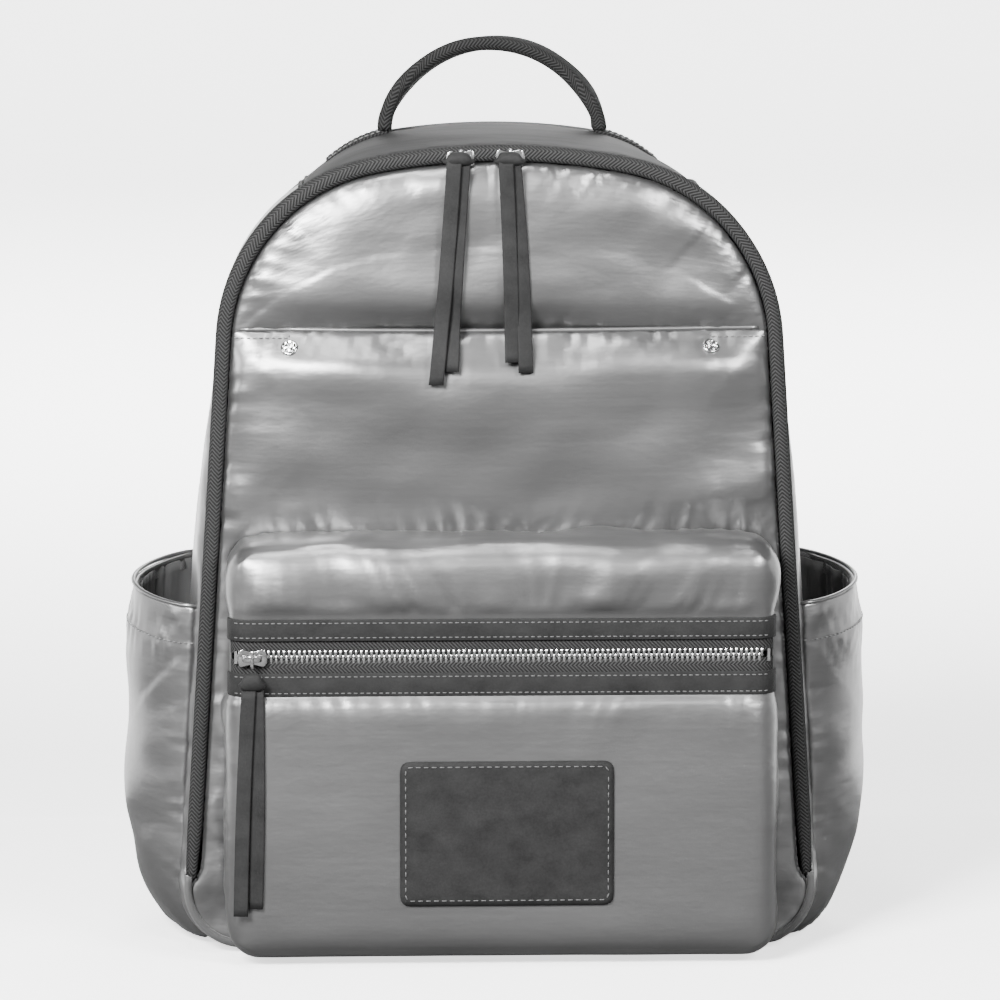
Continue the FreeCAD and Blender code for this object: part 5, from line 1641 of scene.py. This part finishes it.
def inside():
    """The lining with its back wall, the stiffened floor and the flat pocket, seen when the panel opens."""
    inset = -0.9

    def wall_point(u, v):
        s, y = outline.half * (2 * u - 1), GUSSET_Y0 + 117 * v
        wrinkle = 0.25 * abs(ripple((880 * u, y, 0), 30))
        return at(s, inset - wrinkle - slump(s, y), y)

    def floor_point(u, v):
        y = -51 + 103 * v
        return Vector((-123.5 + 247 * u, y, 7.1 + 0.25 * ripple((240 * u, y, 3), 25)))

    walls = sheet_piece("lining_walls", grid(20, 220, wall_point), LINING, thickness=0.3)
    back_wall = wrinkled(arch_rows(inset, 59.8, 6, 60, 50), 35, 0.3, 0.2)
    wall = sheet_piece("lining_back", back_wall, LINING, thickness=0.3)
    placed(joined("lining_inside", [walls, wall]), "bag_body", "lining_fabric", "main_lining")
    cover = sheet_piece("floor_board_cover", grid(30, 60, floor_point), LINING, thickness=1.4)
    placed(cover, "bag_body", "lining_fabric", "base_board")
    pouch = grid(31, 60, pouch_point)
    body = sheet_piece("inner_pouch", pouch, LINING, thickness=0.8)
    hem = tube("hem", pouch[-1], 1.6, PIPING)
    placed(joined("inner_pouch_cloth", [body, hem]), "bag_body", "lining_fabric", "inner_pocket")


# ---- the studio ----------------------------------------------------------------------------------


def studio():
    mesh_piece("studio_floor", *floor_mesh(), studio_paper())
    world = bpy.data.worlds.new("Studio")
    bpy.context.scene.world = world
    world.use_nodes = True
    backdrop = world.node_tree.nodes["Background"]
    backdrop.inputs["Color"].default_value = (1, 1, 1, 1)
    backdrop.inputs["Strength"].default_value = 0.1
    for name, place, aim, size, power in (
        ("Key", (-850, -1600, 1180), (0, 0, 340), 760, 175),
        ("Fill", (1050, -1500, 1150), (0, 0, 340), 700, 62),
        ("Side", (-1500, -500, 600), (0, 0, 200), 500, 12),
        ("Top", (-200, -600, 1800), (0, -60, 300), 500, 18),
        ("Back", (300, 1500, 1200), (0, 0, 250), 900, 20),
    ):
        area_light(name, Vector(place) * MM, Vector(aim) * MM, size * MM, power)
    for quarter in range(4):
        a = quarter * math.pi / 2
        out = Vector((math.sin(a), math.cos(a), 0))
        power = 420 if quarter == 0 else 40
        aim = out * 5200 + Vector((0, 0, 300))
        area_light("Wash", (out * 1900 + Vector((0, 0, 2300))) * MM, aim * MM, 1.8, power)
    dark_card()
    camera()


def dark_card():
    """A dark card on the floor in front and beside the bag. It keeps the paper out of the satin's sheen."""
    look = Look("Dark_Card", Roughness=0.9)
    look.shade(look.noise(look.space(20, 20, 20)), 0.07, 0.11)
    rows, step = [], 200
    for y in range(-4100, 301, step):
        lift = lambda x: 1.5 + 0.5 * noise.noise(Vector((x / step, y / step, 0)))
        rows.append([Vector((x, y, lift(x))) for x in range(-3000, 3001, step)])
    points = [p for row in rows for p in row]
    card = mesh_piece("studio_dark_card", points, grid_faces(len(rows), len(rows[0])), look.material)
    card.visible_camera = False
    card.visible_shadow = False


def studio_paper():
    """White paper with a glow that fades out in front of the bag, which keeps its dark reflections."""
    look = Look("Studio_Paper", Roughness=0.7, Emission_Color=(1, 1, 1, 1))
    look.shade(look.noise(look.space(30, 30, 30)), 0.88, 0.92)
    depth = look.add("SeparateXYZ", Vector=look.space(1, 1, 1)).outputs[1]
    look.feed(look.shader, Emission_Strength=look.fit(depth, -0.6, -0.25, 0, 1.4))
    return look.material


def floor_mesh():
    """A pale bowl: flat under the bag and under every camera, rising far away."""
    points, faces, rings, spokes = [Vector((0, 0, -0.4))], [], 40, 64
    for i in range(1, rings + 1):
        radius = 8000 * (i / rings) ** 1.5
        z = -0.4 + 3000 * smooth(4500, 8000, radius)
        for k in range(spokes):
            a = 2 * math.pi * k / spokes
            points.append(Vector((radius * math.cos(a), radius * math.sin(a), z)))
    faces += [(0, 1 + k, 1 + (k + 1) % spokes) for k in range(spokes)]
    faces += [tuple(1 + v for v in quad) for quad in grid_faces(rings, spokes, wrap=True, flip=True)]
    return points, faces


def area_light(name, place, aim, size, power):
    light = bpy.data.lights.new(name, "AREA")
    light.shape, light.size, light.energy = "DISK", size, power
    lamp = bpy.data.objects.new(name, light)
    bpy.context.scene.collection.objects.link(lamp)
    lamp.location = place
    lamp.rotation_euler = (aim - place).to_track_quat("-Z", "Y").to_euler()
    lamp.visible_camera = False


def camera():
    """Level with the bag's middle and a little to its left, as a catalogue photographer stands."""
    azimuth, elevation, distance = math.radians(-2), math.radians(8), 3200
    target = Vector((0, -71, 234.06))
    level = math.cos(elevation)
    back_way = Vector((math.sin(azimuth) * level, -math.cos(azimuth) * level, math.sin(elevation)))
    data = bpy.data.cameras.new("Camera")
    data.sensor_width, data.lens = 36, 225.9
    data.clip_end = 20
    eye = bpy.data.objects.new("Camera", data)
    bpy.context.scene.collection.objects.link(eye)
    eye.location = (target + back_way * distance) * MM
    eye.rotation_euler = (-back_way).to_track_quat("-Z", "Y").to_euler()
    bpy.context.scene.camera = eye


def zip_stops():
    """The chain's stops stay as the CAD has them, and only take their finish."""
    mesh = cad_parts["pocket_zip_stops"].data
    mesh.materials.clear()
    mesh.materials.append(CHROME)


gussets()
pipings()
main_zipper()
panel_cloth = front()
pocket_cloth = pocket()
main_sliders()
main_pulls(panel_cloth)
pocket_pull([pocket_cloth])
handle()
side_pockets()
back()
straps()
inside()
zip_stops()
studio()
